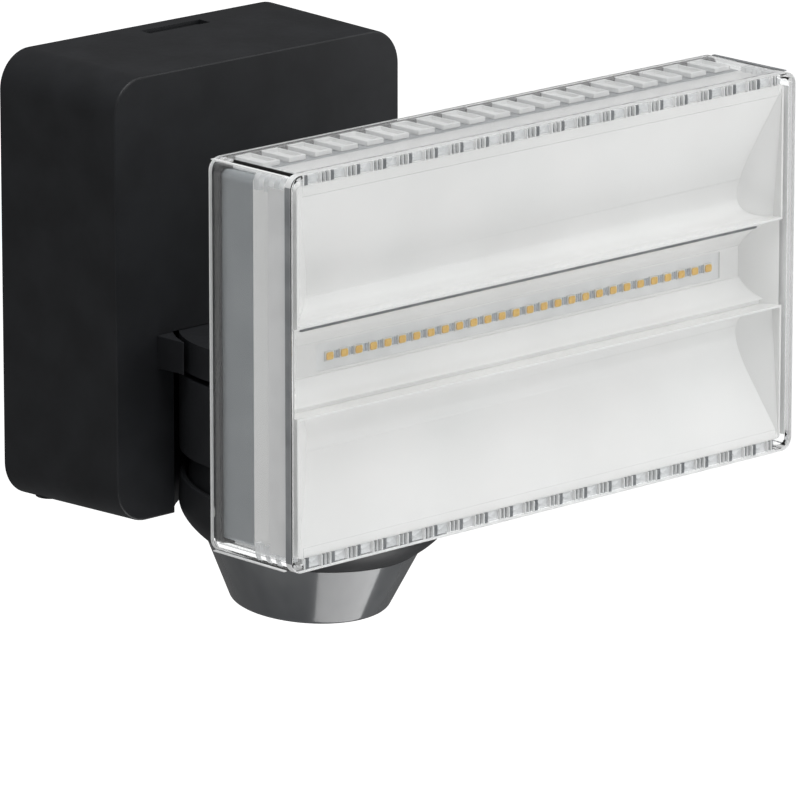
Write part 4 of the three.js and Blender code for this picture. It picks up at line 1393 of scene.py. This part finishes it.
def white_floor():
    """A plain pale floor, far enough down that it shows no shadow."""
    outline = rounded_rectangle(FLOOR_WIDTH, FLOOR_WIDTH, FLOOR_CORNER)
    mesh = slab_z(outline, FLOOR_LOW, FLOOR_TOP)
    mesh.transform(Matrix.Scale(MM, 4))
    data = bpy.data.meshes.new("floor")
    mesh.to_mesh(data)
    mesh.free()
    floor = bpy.data.objects.new("floor", data)
    scene.collection.objects.link(floor)
    paint = plain_surface("pale_floor", Roughness=0.9)
    shader = shader_of(paint)
    shader.inputs["Emission Color"].default_value = (1, 1, 1, 1)
    shader.inputs["Emission Strength"].default_value = FLOOR_GLOW
    vary_colour(paint, noise(2), (0.90, 0.90, 0.90), (0.92, 0.92, 0.92))
    data.materials.append(paint)
    floor.visible_glossy = False
    floor.visible_diffuse = False


def studio_world():
    """White behind the object, with a dimmer even light for shading and reflections."""
    world = bpy.data.worlds.new("studio")
    world.use_nodes = True
    scene.world = world
    nodes = world.node_tree.nodes
    links = world.node_tree.links
    ray = nodes.new("ShaderNodeLightPath")
    place = nodes.new("ShaderNodeTexCoord")
    split = nodes.new("ShaderNodeSeparateXYZ")
    sky = nodes.new("ShaderNodeMapRange")
    sky.inputs["From Min"].default_value = -1
    sky.inputs["From Max"].default_value = 1
    sky.inputs["To Min"].default_value = FILL_BELOW
    sky.inputs["To Max"].default_value = FILL_ABOVE
    links.new(place.outputs["Generated"], split.inputs["Vector"])
    links.new(split.outputs["Z"], sky.inputs["Value"])
    inside = nodes.new("ShaderNodeMapRange")
    inside.inputs["From Max"].default_value = 1
    inside.inputs["To Min"].default_value = GLOSS_FILL
    inside.inputs["To Max"].default_value = INSIDE_FILL
    links.new(ray.outputs["Transmission Depth"], inside.inputs["Value"])
    glossy = nodes.new("ShaderNodeMix")
    glossy.data_type = "FLOAT"
    links.new(inside.outputs["Result"], glossy.inputs["B"])
    links.new(ray.outputs["Is Glossy Ray"], glossy.inputs["Factor"])
    links.new(sky.outputs["Result"], glossy.inputs["A"])
    seen = nodes.new("ShaderNodeMath")
    seen.operation = "MAXIMUM"
    links.new(ray.outputs["Is Camera Ray"], seen.inputs[0])
    links.new(ray.outputs["Is Transmission Ray"], seen.inputs[1])
    level = nodes.new("ShaderNodeMix")
    level.data_type = "FLOAT"
    level.inputs["B"].default_value = BACKDROP
    links.new(seen.outputs["Value"], level.inputs["Factor"])
    links.new(glossy.outputs["Result"], level.inputs["A"])
    background = nodes["Background"]
    background.inputs["Color"].default_value = (1, 1, 1, 1)
    links.new(level.outputs["Result"], background.inputs["Strength"])


def soft_box(name, position, target, size, power):
    """A rectangular area light aimed at a point. Places and sizes are in millimetres."""
    data = bpy.data.lights.new(name, "AREA")
    data.shape = "RECTANGLE"
    data.size = size[0] * MM
    data.size_y = size[1] * MM
    data.energy = power
    lamp = bpy.data.objects.new(name, data)
    lamp.location = Vector(position) * MM
    aim = (Vector(target) - Vector(position)).normalized()
    lamp.rotation_euler = aim.to_track_quat("-Z", "Y").to_euler()
    scene.collection.objects.link(lamp)


def studio_lights():
    middle = (0, -100, 0)
    soft_box("key_above", (-300, -450, 1500), middle, (1200, 900), 14)
    soft_box("wall_right", (560, -760, 330), (0, -57, 120), (1300, 900), 3.8)
    soft_box("under_front", (150, -480, -1000), (0, -90, -100), (1000, 520), 5.1)


CAMERA_PLACE = Vector((-1831.2, -2078.7, 672.8))
CAMERA_AIM = Vector((27.5, -97.7, -41.4))
FOCAL_LENGTH = 371.05
SENSOR_WIDTH = 36


def add_camera():
    data = bpy.data.cameras.new("photo_view")
    data.sensor_width = SENSOR_WIDTH
    data.lens = FOCAL_LENGTH
    data.clip_end = 60
    camera = bpy.data.objects.new("photo_view", data)
    camera.location = CAMERA_PLACE * MM
    camera.rotation_euler = (CAMERA_AIM - CAMERA_PLACE).to_track_quat("-Z", "Y").to_euler()
    scene.collection.objects.link(camera)
    scene.camera = camera


# ---------------- the whole scene


def build_pieces():
    dress_cad_nodes()
    box_cover()
    bay_liner()
    hub_guards()
    shutter()
    latch_button()
    wall_plate()
    wall_grommet()
    setting_dials()
    cover_screws()
    sensor_column()
    swivel_arm()
    arm_cap()
    clear_cover()
    cover_rim()
    cover_edges()
    cover_side_strips()
    cover_teeth()
    cover_wall_strips()
    front_cells()
    corner_ribs()
    head_gasket()
    head_housing()
    reflector()
    ridge_shadow_strip()
    led_strip()
    tilt_bracket()
    tilt_pin_and_nut()
    back_screws("head_screw", 4, "lamp", head_radius=3.2, head_height=1.4, shaft_radius=1.6)
    back_screws("bracket_screw", 4, "lamp", head_radius=3.0, head_height=1.6, shaft_radius=1.6)
    sensor_ball()
    sensor_cup()
    sensor_lens()


build_pieces()
white_floor()
studio_world()
studio_lights()
add_camera()
scene.view_settings.view_transform = "Standard"
